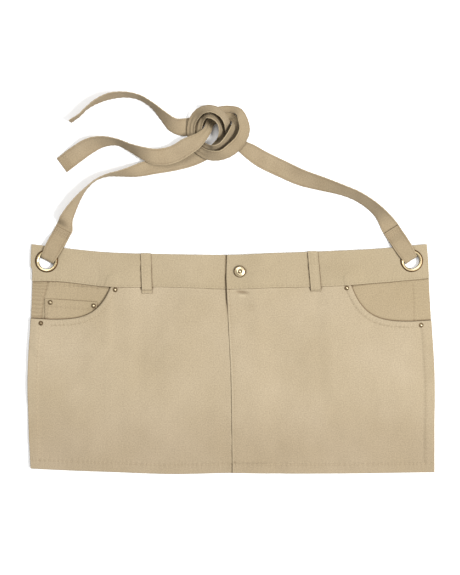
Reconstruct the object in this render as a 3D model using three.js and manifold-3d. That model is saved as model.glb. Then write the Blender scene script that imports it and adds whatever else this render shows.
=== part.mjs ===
// A waist apron of twill, lying flat with its front up and its two straps knotted above it.
// Millimetres. X runs along the waistband, Y from the hem to the waistband, Z up from the floor.
import * as THREE from "three";
import { mergeVertices } from "three/addons/utils/BufferGeometryUtils.js";
import Module from "manifold-3d";

const wasm = await Module();
wasm.setup();

// Overall sizes
const apronWidth = 609;
const apronHeight = 328;
const strapRise = 247;

// Cloth and seams
const cloth = 1.2;
const bandThickness = 2.2;
const waveHeight = 1.8;
const hemDepth = 15;
const seamTuck = 8;
const panelLap = 30;
const bandLap = 42;
const gap = 0.3;

// Pockets
const pocketWidth = 122;
const pocketDepth = { left: 49, right: 55 };
const pocketOverSeam = 10;
const pocketEndRise = 2;
const pocketPowerAcross = 5;
const pocketPowerDown = 1.26;
const pocketBagRise = 130;
const pocketUnderlap = 14;
const coinClear = 23;
const coinInset = 21;
const coinAbove = 31.5;
const coinBelow = 34;
const coinSlant = 5;

// Belt loops
const loopWidth = 15;
const loopLength = 60;
const loopThickness = 1.5;
const loopArch = 1.2;
const loopOverTop = 0.8;

// Brass hardware
const eyeletHole = 23.4;
const eyeletRim = 34;
const eyeletWasher = 32;
const eyeletBarrel = 1.1;
const eyeletInset = 23;
const eyeletDrop = 22.8;
const washerThickness = 0.8;
const flangeThickness = 1.4;
const buttonDiameter = 17.5;
const buttonHeight = 2.6;
const buttonInset = 19.5;
const buttonDrop = 25.5;
const shankDiameter = 4;
const buttonholeLength = 16;
const rivetDiameter = 7.2;
const rivetHeight = 1.3;
const rivetPost = 2.4;
const holeClearance = 0.35;

// Straps
const strapWidth = 26;
const strapThickness = 1.5;
const strapSlack = 1;
const strapStep = 7;
const strapInEyelet = 21.3;
const flapLength = 20;

// How far a cloth stays level past an edge that it lies over, and then how far it slopes down
const bridge = 12;
const slope = 26;
const columnStep = 13;
const rowStep = 16;

// Outline across the apron: across is a share of apronWidth, the heights are shares of apronHeight
const edgesAcross = [
  { across: -0.5, hem: 0.025, seam: 0.88, top: 1.051 },
  { across: -0.42, hem: 0.017, seam: 0.878, top: 1.033 },
  { across: -0.3, hem: 0.009, seam: 0.854, top: 1.011 },
  { across: -0.15, hem: -0.001, seam: 0.853, top: 1.003 },
  { across: 0, hem: 0.004, seam: 0.844, top: 1.0 },
  { across: 0.1, hem: 0.002, seam: 0.85, top: 1.008 },
  { across: 0.25, hem: 0.001, seam: 0.857, top: 1.018 },
  { across: 0.38, hem: 0.004, seam: 0.875, top: 1.031 },
  { across: 0.5, hem: 0.007, seam: 0.895, top: 1.053 },
];

// Outline up the apron: up is a share of apronHeight, the other columns are shares of apronWidth
const edgesUp = [
  { up: 0, left: -0.493, centre: 0.003, right: 0.5 },
  { up: 0.18, left: -0.498, centre: 0.002, right: 0.5 },
  { up: 0.43, left: -0.5, centre: 0, right: 0.5 },
  { up: 0.7, left: -0.492, centre: -0.007, right: 0.491 },
  { up: 0.89, left: -0.489, centre: -0.012, right: 0.485 },
  { up: 0.91, left: -0.493, centre: -0.012, right: 0.485 },
  { up: 1.05, left: -0.489, centre: -0.01, right: 0.479 },
];

// Soft waves where the cloth stands off the floor: across and reach are shares of apronWidth, up is a
// share of apronHeight and lift a share of waveHeight
const waves = [
  { name: "hem, left", across: -0.36, up: 0.1, reach: 0.1, lift: 0.9 },
  { name: "hem, right of the centre", across: 0.17, up: 0.02, reach: 0.1, lift: 0.8 },
  { name: "right side", across: 0.46, up: 0.3, reach: 0.11, lift: 1 },
  { name: "left of the centre seam", across: -0.13, up: 0.62, reach: 0.1, lift: 0.8 },
  { name: "right of the centre seam", across: 0.2, up: 0.6, reach: 0.1, lift: 0.7 },
];

// Straps. In a run or tail, across is a share of apronWidth and rise a share of strapRise above
// the waistband. Roll lifts the strap's right edge, seen along its way. Lift counts the layers
// under its lower edge, and fold is the share of its width that stays spread.
const leftRun = [
  { across: -0.404, rise: 0.215, roll: -46, lift: 0, fold: 1 },
  { across: -0.393, rise: 0.269, roll: -60, lift: 0, fold: 1 },
  { across: -0.373, rise: 0.347, roll: -79, lift: 0, fold: 1 },
  { across: -0.356, rise: 0.398, roll: -90, lift: 0, fold: 1 },
  { across: -0.332, rise: 0.45, roll: -93, lift: 0, fold: 1 },
  { across: -0.303, rise: 0.479, roll: -87, lift: 0, fold: 1 },
  { across: -0.274, rise: 0.489, roll: -76, lift: 0, fold: 1 },
  { across: -0.238, rise: 0.505, roll: -46, lift: 0, fold: 0.88 },
  { across: -0.217, rise: 0.519, roll: -24, lift: 0, fold: 0.86 },
  { across: -0.192, rise: 0.533, roll: -12, lift: 0, fold: 0.86 },
  { across: -0.146, rise: 0.557, roll: -3, lift: 0, fold: 0.95 },
  { across: -0.101, rise: 0.583, roll: 0, lift: 0, fold: 0.92 },
];
const lowerTail = [
  { across: -0.107, rise: 0.654, roll: 4, lift: 5.1, fold: 1 },
  { across: -0.135, rise: 0.613, roll: 6, lift: 3.9, fold: 1 },
  { across: -0.162, rise: 0.593, roll: 13, lift: 3.4, fold: 1 },
  { across: -0.193, rise: 0.592, roll: 33, lift: 3.7, fold: 1 },
  { across: -0.22, rise: 0.615, roll: 54, lift: 3.8, fold: 1 },
  { across: -0.247, rise: 0.644, roll: 68, lift: 2.2, fold: 1 },
  { across: -0.279, rise: 0.679, roll: 73, lift: 0.3, fold: 1 },
  { across: -0.314, rise: 0.683, roll: 57, lift: 0, fold: 1 },
  { across: -0.346, rise: 0.661, roll: 33, lift: 0, fold: 1 },
  { across: -0.381, rise: 0.609, roll: 13, lift: 0, fold: 1 },
  { across: -0.417, rise: 0.543, roll: 0, lift: 0, fold: 1 },
];
const rightRun = [
  { across: 0.365, rise: 0.251, roll: 52, lift: 0, fold: 1 },
  { across: 0.338, rise: 0.31, roll: 59, lift: 0, fold: 1 },
  { across: 0.306, rise: 0.358, roll: 60, lift: 0, fold: 1 },
  { across: 0.272, rise: 0.391, roll: 57, lift: 0, fold: 1 },
  { across: 0.225, rise: 0.427, roll: 42, lift: 0, fold: 1 },
  { across: 0.174, rise: 0.466, roll: 24, lift: 0, fold: 1 },
  { across: 0.125, rise: 0.522, roll: 3, lift: 0, fold: 1 },
  { across: 0.076, rise: 0.581, roll: 0, lift: 0, fold: 1 },
];
const upperTail = [
  { across: -0.094, rise: 0.791, roll: 0, lift: 0, fold: 0.88 },
  { across: -0.118, rise: 0.774, roll: 9, lift: 0, fold: 1 },
  { across: -0.143, rise: 0.786, roll: 40, lift: 0, fold: 1 },
  { across: -0.166, rise: 0.838, roll: 62, lift: 0, fold: 1 },
  { across: -0.193, rise: 0.902, roll: 77, lift: 0, fold: 1 },
  { across: -0.223, rise: 0.948, roll: 80, lift: 0, fold: 1 },
  { across: -0.257, rise: 0.966, roll: 79, lift: 0, fold: 1 },
  { across: -0.297, rise: 0.957, roll: 77, lift: 0, fold: 1 },
  { across: -0.331, rise: 0.923, roll: 84, lift: 0, fold: 1 },
  { across: -0.355, rise: 0.882, roll: 91, lift: 0, fold: 1 },
  { across: -0.372, rise: 0.841, roll: 91, lift: 0, fold: 1 },
  { across: -0.395, rise: 0.803, roll: 88, lift: 0, fold: 1 },
];

// The knot: east and north are strap widths from its middle
const knotMiddle = { across: -0.0324, rise: 0.745 };
const leftKnot = [
  { east: -0.87, north: -1.33, roll: 0, lift: 0, fold: 0.72 },
  { east: -0.35, north: -1.09, roll: 0, lift: 0, fold: 0.6 },
  { east: 0.03, north: -0.73, roll: -12, lift: 0, fold: 0.6 },
  { east: 0.23, north: -0.35, roll: -55, lift: 0, fold: 0.8 },
  { east: 0.25, north: 0.06, roll: -68, lift: 0.6, fold: 1 },
  { east: 0.15, north: 0.46, roll: -66, lift: 2.8, fold: 1 },
  { east: -0.19, north: 0.81, roll: -62, lift: 4.0, fold: 1 },
  { east: -0.62, north: 0.94, roll: -56, lift: 4.4, fold: 0.95 },
  { east: -0.98, north: 0.72, roll: -36, lift: 3.4, fold: 0.62 },
  { east: -1.13, north: 0.2, roll: -33, lift: 1.5, fold: 0.52 },
  { east: -1.13, north: -0.38, roll: -33, lift: 1.2, fold: 0.52 },
  { east: -0.89, north: -0.81, roll: -34, lift: 1.2, fold: 0.55 },
  { east: -0.57, north: -1.03, roll: -46, lift: 1.2, fold: 0.75 },
  { east: -0.22, north: -1.1, roll: -60, lift: 1.2, fold: 1 },
  { east: 0.18, north: -0.94, roll: -64, lift: 1.2, fold: 1 },
  { east: 0.64, north: -0.49, roll: -58, lift: 1.2, fold: 1 },
  { east: 0.97, north: 0.08, roll: -58, lift: 1.2, fold: 1 },
  { east: 1.05, north: 0.49, roll: -42, lift: 1.2, fold: 0.7 },
  { east: 0.84, north: 0.8, roll: -10, lift: 1.2, fold: 0.46 },
  { east: 0.38, north: 0.85, roll: 0, lift: 1.2, fold: 0.5 },
  { east: -0.14, north: 0.72, roll: 0, lift: 1.2, fold: 0.5 },
  { east: -0.46, north: 0.48, roll: 0, lift: 1.7, fold: 0.5 },
  { east: -0.58, north: 0.11, roll: 0, lift: 4.3, fold: 0.48 },
  { east: -0.91, north: -0.31, roll: 2, lift: 5.7, fold: 0.65 },
  { east: -1.31, north: -0.63, roll: 4, lift: 5.6, fold: 0.88 },
];
const rightKnot = [
  { east: 1.85, north: -1.11, roll: 0, lift: 0, fold: 0.9 },
  { east: 1.27, north: -0.72, roll: 0, lift: 0, fold: 0.66 },
  { east: 0.84, north: -0.29, roll: -6, lift: 0, fold: 0.58 },
  { east: 0.61, north: 0.08, roll: -60, lift: 0, fold: 0.8 },
  { east: 0.51, north: 0.49, roll: -68, lift: 3.3, fold: 1 },
  { east: 0.26, north: 0.91, roll: -64, lift: 3.8, fold: 1 },
  { east: -0.28, north: 1.23, roll: -60, lift: 4.5, fold: 1 },
  { east: -0.82, north: 1.2, roll: -56, lift: 4.6, fold: 0.9 },
  { east: -1.26, north: 0.88, roll: -38, lift: 3.8, fold: 0.65 },
  { east: -1.52, north: 0.36, roll: -33, lift: 2.0, fold: 0.52 },
  { east: -1.52, north: -0.26, roll: -33, lift: 1.3, fold: 0.52 },
  { east: -1.29, north: -0.84, roll: -31, lift: 1.2, fold: 0.54 },
  { east: -0.89, north: -1.19, roll: -42, lift: 1.2, fold: 0.65 },
  { east: -0.4, north: -1.39, roll: -58, lift: 1.2, fold: 0.92 },
  { east: 0.18, north: -1.38, roll: -62, lift: 1.2, fold: 1 },
  { east: 0.75, north: -1.06, roll: -52, lift: 1.2, fold: 1 },
  { east: 1.29, north: -0.52, roll: -52, lift: 1.2, fold: 1 },
  { east: 1.53, north: 0.11, roll: -53, lift: 1.2, fold: 1 },
  { east: 1.42, north: 0.69, roll: -53, lift: 1.2, fold: 0.95 },
  { east: 1.16, north: 1.17, roll: -32, lift: 1.0, fold: 0.54 },
  { east: 0.68, north: 1.31, roll: 0, lift: 0.3, fold: 0.42 },
  { east: 0.22, north: 1.29, roll: 0, lift: 0.1, fold: 0.42 },
  { east: -0.26, north: 1.14, roll: 0, lift: 0, fold: 0.5 },
  { east: -0.84, north: 0.8, roll: 0, lift: 0, fold: 0.65 },
];

// A column of a table at a place between its rows, along a smooth curve
function read(table, key, at, column) {
  let i = 0;
  while (i < table.length - 2 && at > table[i + 1][key]) i += 1;
  const before = table[Math.max(i - 1, 0)];
  const start = table[i];
  const end = table[i + 1];
  const after = table[Math.min(i + 2, table.length - 1)];
  const span = end[key] - start[key];
  const t = THREE.MathUtils.clamp((at - start[key]) / span, 0, 1);
  const slopeAt = (a, b) => ((b[column] - a[column]) / (b[key] - a[key])) * span;
  const m0 = slopeAt(before, end);
  const m1 = slopeAt(start, after);
  const rest = (1 - t) * (1 - t);
  return (
    (1 + 2 * t) * rest * start[column] +
    t * rest * m0 +
    t * t * (3 - 2 * t) * end[column] +
    t * t * (t - 1) * m1
  );
}

const hemAt = (x) => apronHeight * read(edgesAcross, "across", x / apronWidth, "hem");
const seamAt = (x) => apronHeight * read(edgesAcross, "across", x / apronWidth, "seam");
const topAt = (x) => apronHeight * read(edgesAcross, "across", x / apronWidth, "top");
const leftAt = (y) => apronWidth * read(edgesUp, "up", y / apronHeight, "left");
const centreAt = (y) => apronWidth * read(edgesUp, "up", y / apronHeight, "centre");
const rightAt = (y) => apronWidth * read(edgesUp, "up", y / apronHeight, "right");

// Height over the hem at which each pocket opening meets the side
const pocketRise = {
  left: seamAt(leftAt(0) + pocketWidth) - pocketDepth.left,
  right: seamAt(rightAt(0) - pocketWidth) - pocketDepth.right,
};

// Height of the cloth's underside over the floor where nothing lies beneath it
function waveAt(x, y) {
  return waves.reduce((sum, wave) => {
    const away = Math.hypot(x - wave.across * apronWidth, y - wave.up * apronHeight);
    const q = away / (wave.reach * apronWidth);
    return q < 1 ? sum + wave.lift * waveHeight * (1 - q * q) ** 2 : sum;
  }, 0);
}

// Distance from a point to an outline, above zero inside it
function insideBy(outline, x, y) {
  let nearest = Infinity;
  let inside = false;
  outline.forEach(([x0, y0], i) => {
    const [x1, y1] = outline[(i + 1) % outline.length];
    const length2 = (x1 - x0) ** 2 + (y1 - y0) ** 2 || 1e-9;
    const along = ((x - x0) * (x1 - x0) + (y - y0) * (y1 - y0)) / length2;
    const t = THREE.MathUtils.clamp(along, 0, 1);
    nearest = Math.min(nearest, Math.hypot(x - x0 - t * (x1 - x0), y - y0 - t * (y1 - y0)));
    const crosses = y0 > y !== y1 > y;
    if (crosses && x < x0 + ((y - y0) / (y1 - y0)) * (x1 - x0)) inside = !inside;
  });
  return inside ? nearest : -nearest;
}

// Underside of a cloth that lies over other layers and bridges past their edges
function layOver(layers, near = bridge, down = slope) {
  return (x, y) => {
    const floor = waveAt(x, y);
    const raised = layers.map((layer) => {
      const past = insideBy(layer.outline, x, y);
      const covered = THREE.MathUtils.smoothstep(past, -near - down, -near);
      const cut = layer.cutAway ? insideBy(layer.cutAway, x, y) : -Infinity;
      const left = 1 - THREE.MathUtils.smoothstep(cut, near, near + down);
      return covered * left * (layer.top(x, y) + gap - floor);
    });
    return floor + Math.max(0, ...raised);
  };
}

// Even stations from 0 to 1 with a doubled edge of a given width at each end that has one
function stations(length, step, edgeStart = 0, edgeEnd = 0) {
  const marks = [0];
  if (edgeStart) marks.push(edgeStart / length, (edgeStart + cloth) / length);
  const from = marks[marks.length - 1];
  const to = edgeEnd ? 1 - (edgeEnd + cloth) / length : 1;
  const count = Math.max(1, Math.round(((to - from) * length) / step));
  for (let i = 1; i <= count; i += 1) marks.push(from + ((to - from) * i) / count);
  if (edgeEnd) marks.push(1 - edgeEnd / length, 1);
  return marks;
}

// A closed sheet on a grid: plan gives its place, under its underside and thick its thickness
function sheet({ across, along, plan, under, thick }) {
  const columns = across.length;
  const rows = along.length;
  const points = [];
  [0, 1].forEach((side) =>
    along.forEach((v) =>
      across.forEach((u) => {
        const [x, y] = plan(u, v);
        points.push(x, y, under(x, y) + side * thick(u, v));
      }),
    ),
  );
  const at = (side, row, column) => (side * rows + row) * columns + column;
  const faces = [];
  const quad = (a, b, c, d) => faces.push(a, b, c, a, c, d);
  for (let r = 0; r < rows - 1; r += 1) {
    for (let c = 0; c < columns - 1; c += 1) {
      quad(at(1, r, c), at(1, r, c + 1), at(1, r + 1, c + 1), at(1, r + 1, c));
      quad(at(0, r + 1, c), at(0, r + 1, c + 1), at(0, r, c + 1), at(0, r, c));
    }
    quad(at(0, r, 0), at(1, r, 0), at(1, r + 1, 0), at(0, r + 1, 0));
    const last = columns - 1;
    quad(at(0, r + 1, last), at(1, r + 1, last), at(1, r, last), at(0, r, last));
  }
  for (let c = 0; c < columns - 1; c += 1) {
    quad(at(0, 0, c + 1), at(1, 0, c + 1), at(1, 0, c), at(0, 0, c));
    const end = rows - 1;
    quad(at(0, end, c), at(1, end, c), at(1, end, c + 1), at(0, end, c + 1));
  }
  const geometry = new THREE.BufferGeometry();
  geometry.setAttribute("position", new THREE.Float32BufferAttribute(points, 3));
  geometry.setIndex(faces);
  return geometry;
}

// The outline of a sheet in plan, from its four edges
function outlineOf({ across, along, plan }) {
  const lower = across.map((u) => plan(u, 0));
  const right = along.map((v) => plan(1, v));
  const upper = [...across].reverse().map((u) => plan(u, 1));
  const left = [...along].reverse().map((v) => plan(0, v));
  return [...lower, ...right, ...upper, ...left];
}

function solidOf(geometry) {
  const bare = geometry.clone();
  bare.deleteAttribute("normal");
  bare.deleteAttribute("uv");
  const merged = mergeVertices(bare, 1e-4);
  return new wasm.Manifold(
    new wasm.Mesh({
      numProp: 3,
      vertProperties: merged.attributes.position.array,
      triVerts: new Uint32Array(merged.index.array),
    }),
  );
}

function geometryOf(solid) {
  const mesh = solid.getMesh();
  const geometry = new THREE.BufferGeometry();
  geometry.setAttribute("position", new THREE.Float32BufferAttribute(mesh.vertProperties, 3));
  geometry.setIndex([...mesh.triVerts]);
  return geometry;
}

// A sheet with prisms cut out of it
function cutBy(geometry, cutters) {
  const solid = cutters.reduce((whole, cutter) => whole.subtract(solidOf(cutter)), solidOf(geometry));
  return geometryOf(solid);
}

// An upright prism that passes through every layer
function prism(outline) {
  const shape = new THREE.Shape(outline.map(([x, y]) => new THREE.Vector2(x, y)));
  const through = 60;
  const geometry = new THREE.ExtrudeGeometry(shape, { depth: through, bevelEnabled: false });
  return geometry.translate(0, 0, -through / 2);
}

function circle(x, y, diameter, sides = 16) {
  const turn = (2 * Math.PI) / sides;
  const corner = (i) => [
    x + (diameter / 2) * Math.cos(i * turn),
    y + (diameter / 2) * Math.sin(i * turn),
  ];
  return Array.from({ length: sides }, (_, i) => corner(i));
}

// A turned piece from a closed profile of radius and height, standing along Z
function turned(profile, sides, x, y) {
  const points = profile.map(([radius, z]) => new THREE.Vector2(radius, z));
  const geometry = new THREE.LatheGeometry(points, sides);
  return geometry.rotateX(Math.PI / 2).translate(x, y, 0);
}

const twill = { color: "#c8b796", roughness: 0.95, metalness: 0 };
const brass = { color: "#b08d4c", roughness: 0.35, metalness: 1 };
const apron = new THREE.Group();

// Lowest level at which a round piece clears the cloth under it
function seatOn(layer, x, y, diameter) {
  const rim = circle(x, y, diameter, 8).map(([px, py]) => layer.top(px, py));
  return Math.max(layer.top(x, y), ...rim) + gap;
}

function add(name, geometry, finish) {
  const mesh = new THREE.Mesh(geometry, new THREE.MeshStandardMaterial(finish));
  mesh.name = name;
  apron.add(mesh);
}

// Rounded edge of a front pocket from the waistband seam to the side of the apron
function pocketEdge(side) {
  const rise = side < 0 ? pocketRise.left : pocketRise.right;
  const outer = side < 0 ? leftAt(rise) : rightAt(rise);
  const start = seamAt(outer - side * pocketWidth) + pocketOverSeam;
  const steps = 18;
  const corner = (i) => {
    const angle = (i / steps) * (Math.PI / 2);
    const inward = Math.cos(angle) ** (2 / pocketPowerAcross);
    const down = (start - rise) * Math.sin(angle) ** (2 / pocketPowerDown);
    const tilt = pocketEndRise * Math.max(0, 1 - 3 * inward) ** 2;
    return [outer - side * pocketWidth * inward, start - down + tilt];
  };
  return Array.from({ length: steps + 1 }, (_, i) => corner(i));
}

// What the pocket opening takes off a front panel, out past the side and up under the waistband
function pocketCut(side) {
  const edge = pocketEdge(side);
  const [innerX, innerY] = edge[0];
  const [outerX, outerY] = edge[edge.length - 1];
  const past = 90;
  const beyond = outerX + side * past;
  return [[innerX, innerY + past], ...edge, [beyond, outerY], [beyond, innerY + past]];
}

// Two edges of a piece, blended across from its left one to its right one
function between(left, right, lower, upper) {
  return (u, v) => {
    const guess = THREE.MathUtils.lerp(lower(0), upper(0), v);
    const x = THREE.MathUtils.lerp(left(guess), right(guess), u);
    return [x, THREE.MathUtils.lerp(lower(x), upper(x), v)];
  };
}

const flat = () => cloth;

// Pocket backs lie on the floor: the facing that shows in the pocket opening, and the bag below
function pocketBack(side) {
  const inner = (y) => (side < 0 ? leftAt(y) : rightAt(y)) - side * (pocketWidth + pocketUnderlap);
  const outer = (y) => (side < 0 ? leftAt(y) : rightAt(y));
  const [left, right] = side < 0 ? [outer, inner] : [inner, outer];
  const plan = between(left, right, () => pocketBagRise, (x) => seamAt(x) + seamTuck);
  const grid = {
    across: stations(pocketWidth, columnStep),
    along: stations(apronHeight - pocketBagRise, rowStep),
    plan,
  };
  const under = layOver([]);
  const top = (x, y) => under(x, y) + cloth;
  return { grid, under, top, outline: outlineOf(grid), geometry: sheet({ ...grid, under, thick: flat }) };
}
const backs = { left: pocketBack(-1), right: pocketBack(1) };

// The small coin pocket sits on the left facing, with its lower part behind the front panel
const coinWidth = pocketWidth - coinInset - coinClear;
function coinPocket() {
  const start = leftAt(pocketRise.left) + coinInset;
  const plan = (u, v) => {
    const x = start + u * coinWidth;
    const top = pocketRise.left + coinAbove - u * coinSlant;
    return [x, THREE.MathUtils.lerp(pocketRise.left - coinBelow, top, v)];
  };
  const grid = { across: stations(coinWidth, columnStep), along: stations(coinAbove + coinBelow, 9), plan };
  const under = layOver([backs.left]);
  const top = (x, y) => under(x, y) + cloth;
  return { grid, under, top, outline: outlineOf(grid), geometry: sheet({ ...grid, under, thick: flat }) };
}
const coin = coinPocket();

// A front panel with a doubled hem and side edge
function frontPanel(side, layers) {
  const meeting = (y) => (side < 0 ? centreAt(y) + panelLap : centreAt(y));
  const [left, right] = side < 0 ? [leftAt, meeting] : [meeting, rightAt];
  const width = apronWidth / 2;
  const grid = {
    across: stations(width, columnStep, side < 0 ? hemDepth : 0, side > 0 ? hemDepth : 0),
    along: stations(apronHeight, rowStep, hemDepth),
    plan: between(left, right, hemAt, (x) => seamAt(x) + seamTuck),
  };
  const sideEdge = hemDepth / width + 1e-6;
  const hemEdge = hemDepth / apronHeight + 1e-6;
  const thick = (u, v) => {
    const atSide = side < 0 ? u < sideEdge : u > 1 - sideEdge;
    return v < hemEdge || atSide ? 2 * cloth : cloth;
  };
  const under = layOver(layers);
  const nearSide = (x, y) => (side < 0 ? x - leftAt(y) : rightAt(y) - x) < hemDepth + 2;
  const doubled = (x, y) => y - hemAt(x) < hemDepth + 2 || nearSide(x, y);
  const top = (x, y) => under(x, y) + (doubled(x, y) ? 2 * cloth : cloth);
  const geometry = sheet({ ...grid, under, thick });
  return { under, top, outline: outlineOf(grid), cutAway: pocketCut(side), geometry };
}
const panels = { left: frontPanel(-1, [backs.left, coin]) };

// Where an eyelet sits, and which way its strap leaves it
const eyelets = {
  left: { x: leftAt(apronHeight) + eyeletInset, heading: 62.5 },
  right: { x: rightAt(apronHeight) - eyeletInset, heading: 122.5 },
};
Object.values(eyelets).forEach((eye) => {
  eye.y = topAt(eye.x) - eyeletDrop;
  const angle = THREE.MathUtils.degToRad(eye.heading);
  eye.along = [Math.cos(angle), Math.sin(angle)];
  eye.aside = [Math.sin(angle), -Math.cos(angle)];
  eye.clear = (eyeletDrop + (strapWidth / 2) * Math.abs(eye.along[0])) / eye.along[1] + strapSlack;
  const place = (s, side) => [
    eye.x + s * eye.along[0] + side * eye.aside[0],
    eye.y + s * eye.along[1] + side * eye.aside[1],
  ];
  const half = strapWidth / 2;
  const far = eye.clear + bridge;
  eye.strap = {
    outline: [place(0, -half), place(0, half), place(far, half), place(far, -half)],
    top: () => strapThickness,
  };
  eye.washerTop = strapThickness + gap + washerThickness;
  eye.washer = { outline: circle(eye.x, eye.y, eyeletWasher), top: () => eye.washerTop };
});

// A waistband half over the tops of its panel and pocket back
function waistband(side, layers) {
  const meeting = (y) => (side < 0 ? centreAt(y) + bandLap : centreAt(y));
  const [left, right] = side < 0 ? [leftAt, meeting] : [meeting, rightAt];
  const grid = {
    across: stations(apronWidth / 2, columnStep),
    along: stations(apronHeight * 0.16, 9),
    plan: between(left, right, seamAt, topAt),
  };
  const under = layOver(layers);
  const top = (x, y) => under(x, y) + bandThickness;
  return { under, top, outline: outlineOf(grid), geometry: sheet({ ...grid, under, thick: () => bandThickness }) };
}
const bands = {
  left: waistband(-1, [backs.left, panels.left, eyelets.left.strap, eyelets.left.washer]),
};
panels.right = frontPanel(1, [backs.right, panels.left, bands.left]);
bands.right = waistband(1, [
  backs.right,
  panels.left,
  bands.left,
  panels.right,
  eyelets.right.strap,
  eyelets.right.washer,
]);

// An eyelet: a washer behind the waistband, a barrel through it and a rounded rim in front
function eyelet(side) {
  const eye = eyelets[side];
  const hole = eyeletHole / 2;
  const washer = eyeletWasher / 2;
  const rim = eyeletRim / 2;
  const barrel = hole + eyeletBarrel;
  const back = eye.washerTop - washerThickness;
  const front = seatOn(bands[side], eye.x, eye.y, eyeletRim);
  eye.front = front + flangeThickness;
  const profile = [
    [hole, back],
    [washer, back],
    [washer, eye.washerTop],
    [barrel, eye.washerTop],
    [barrel, front],
    [rim, front],
    [rim, front + flangeThickness * 0.4],
    [rim - 1.4, eye.front],
    [hole + 1.4, eye.front],
    [hole, front + flangeThickness * 0.4],
    [hole, back],
  ];
  return turned(profile, 24, eye.x, eye.y);
}
add("eyelet_left", eyelet("left"), brass);
add("eyelet_right", eyelet("right"), brass);

// The tack button: a domed cap on a shank that passes the buttonhole into the lower band
const button = { x: centreAt(apronHeight) + buttonInset };
button.y = topAt(button.x) - buttonDrop;
function tackButton() {
  const seat = seatOn(bands.right, button.x, button.y, buttonDiameter);
  const foot = bands.left.under(button.x, button.y);
  const radius = buttonDiameter / 2;
  const shank = shankDiameter / 2;
  const profile = [
    [0, foot],
    [shank, foot],
    [shank, seat],
    [radius, seat],
    [radius, seat + buttonHeight * 0.45],
    [radius - 1, seat + buttonHeight * 0.8],
    [radius - 2.4, seat + buttonHeight * 0.7],
    [radius * 0.45, seat + buttonHeight],
    [0, seat + buttonHeight],
  ];
  return turned(profile, 20, button.x, button.y);
}
add("tack_button", tackButton(), brass);

function slot(x, y, width, length) {
  const half = width / 2;
  return [
    [x - half, y - half],
    [x + length, y - half],
    [x + length, y + half],
    [x - half, y + half],
  ];
}

// Rivets at the pocket corners, each with the layers that its post passes
function rivetPlaces() {
  const places = [];
  [-1, 1].forEach((side) => {
    const word = side < 0 ? "left" : "right";
    const edge = pocketEdge(side);
    const [innerX] = edge[0];
    const [outerX, outerY] = edge[edge.length - 1];
    const x = innerX - side * rivetDiameter * 0.55;
    const layers = [panels[word], backs[word]];
    const inset = side * hemDepth;
    places.push({ name: `rivet_${word}_inner`, x, y: seamAt(x) - rivetDiameter * 0.56, layers });
    places.push({ name: `rivet_${word}_outer`, x: outerX - inset, y: outerY - rivetDiameter, layers });
  });
  const start = leftAt(pocketRise.left) + coinInset;
  const y = pocketRise.left + coinAbove - rivetDiameter * 0.8;
  const layers = [coin, backs.left];
  places.push({ name: "rivet_coin_outer", x: start + rivetDiameter * 1.1, y, layers });
  const x = start + coinWidth - rivetDiameter * 0.75;
  places.push({ name: "rivet_coin_inner", x, y: y - coinSlant, layers });
  return places;
}
const rivets = rivetPlaces();
rivets.forEach(({ name, x, y, layers }) => {
  const seat = seatOn(layers[0], x, y, rivetDiameter);
  const foot = waveAt(x, y);
  const radius = rivetDiameter / 2;
  const post = rivetPost / 2;
  const profile = [
    [0, foot],
    [post, foot],
    [post, seat],
    [radius, seat],
    [radius * 0.9, seat + rivetHeight * 0.6],
    [radius * 0.45, seat + rivetHeight],
    [0, seat + rivetHeight],
  ];
  add(name, turned(profile, 12, x, y), brass);
});

const postHoles = (layer) =>
  rivets
    .filter((rivet) => rivet.layers.includes(layer))
    .map(({ x, y }) => prism(circle(x, y, rivetPost + 2 * holeClearance, 8)));
const barrelHole = (side) =>
  prism(circle(eyelets[side].x, eyelets[side].y, eyeletHole + 2 * (eyeletBarrel + holeClearance)));
const shankHole = prism(circle(button.x, button.y, shankDiameter + 2 * holeClearance, 12));
const buttonhole = prism(slot(button.x, button.y, shankDiameter + 2 * holeClearance, buttonholeLength * 0.6));

add("pocket_back_left", cutBy(backs.left.geometry, postHoles(backs.left)), twill);
add("pocket_back_right", cutBy(backs.right.geometry, postHoles(backs.right)), twill);
add("coin_pocket", cutBy(coin.geometry, postHoles(coin)), twill);
const leftCuts = [prism(panels.left.cutAway), ...postHoles(panels.left)];
add("front_panel_left", cutBy(panels.left.geometry, leftCuts), twill);
const rightCuts = [prism(panels.right.cutAway), ...postHoles(panels.right)];
add("front_panel_right", cutBy(panels.right.geometry, rightCuts), twill);
add("waistband_left", cutBy(bands.left.geometry, [barrelHole("left"), shankHole]), twill);
add("waistband_right", cutBy(bands.right.geometry, [barrelHole("right"), buttonhole]), twill);

// A belt loop from the top of the waistband to just below its seam, standing off a little
function beltLoop(share, lean, layers) {
  const x = share * apronWidth;
  const upper = topAt(x) + loopOverTop;
  const plan = (u, v) => [
    x + (v - 1) * lean + (u - 0.5) * loopWidth,
    upper - loopLength * (1 - v),
  ];
  const near = 3.5;
  const rest = layOver(layers, near, near);
  const arched = (px, py) => {
    const share01 = THREE.MathUtils.clamp((py - upper + loopLength) / loopLength, 0, 1);
    return rest(px, py) + loopArch * Math.sin(Math.PI * share01);
  };
  const grid = { across: [0, 0.5, 1], along: stations(loopLength, 3.4), plan };
  return sheet({ ...grid, under: arched, thick: () => loopThickness });
}
add("belt_loop_left", beltLoop(-0.21, -2, [panels.left, bands.left]), twill);
add("belt_loop_right", beltLoop(0.2, -5, [panels.right, bands.right]), twill);

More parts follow.
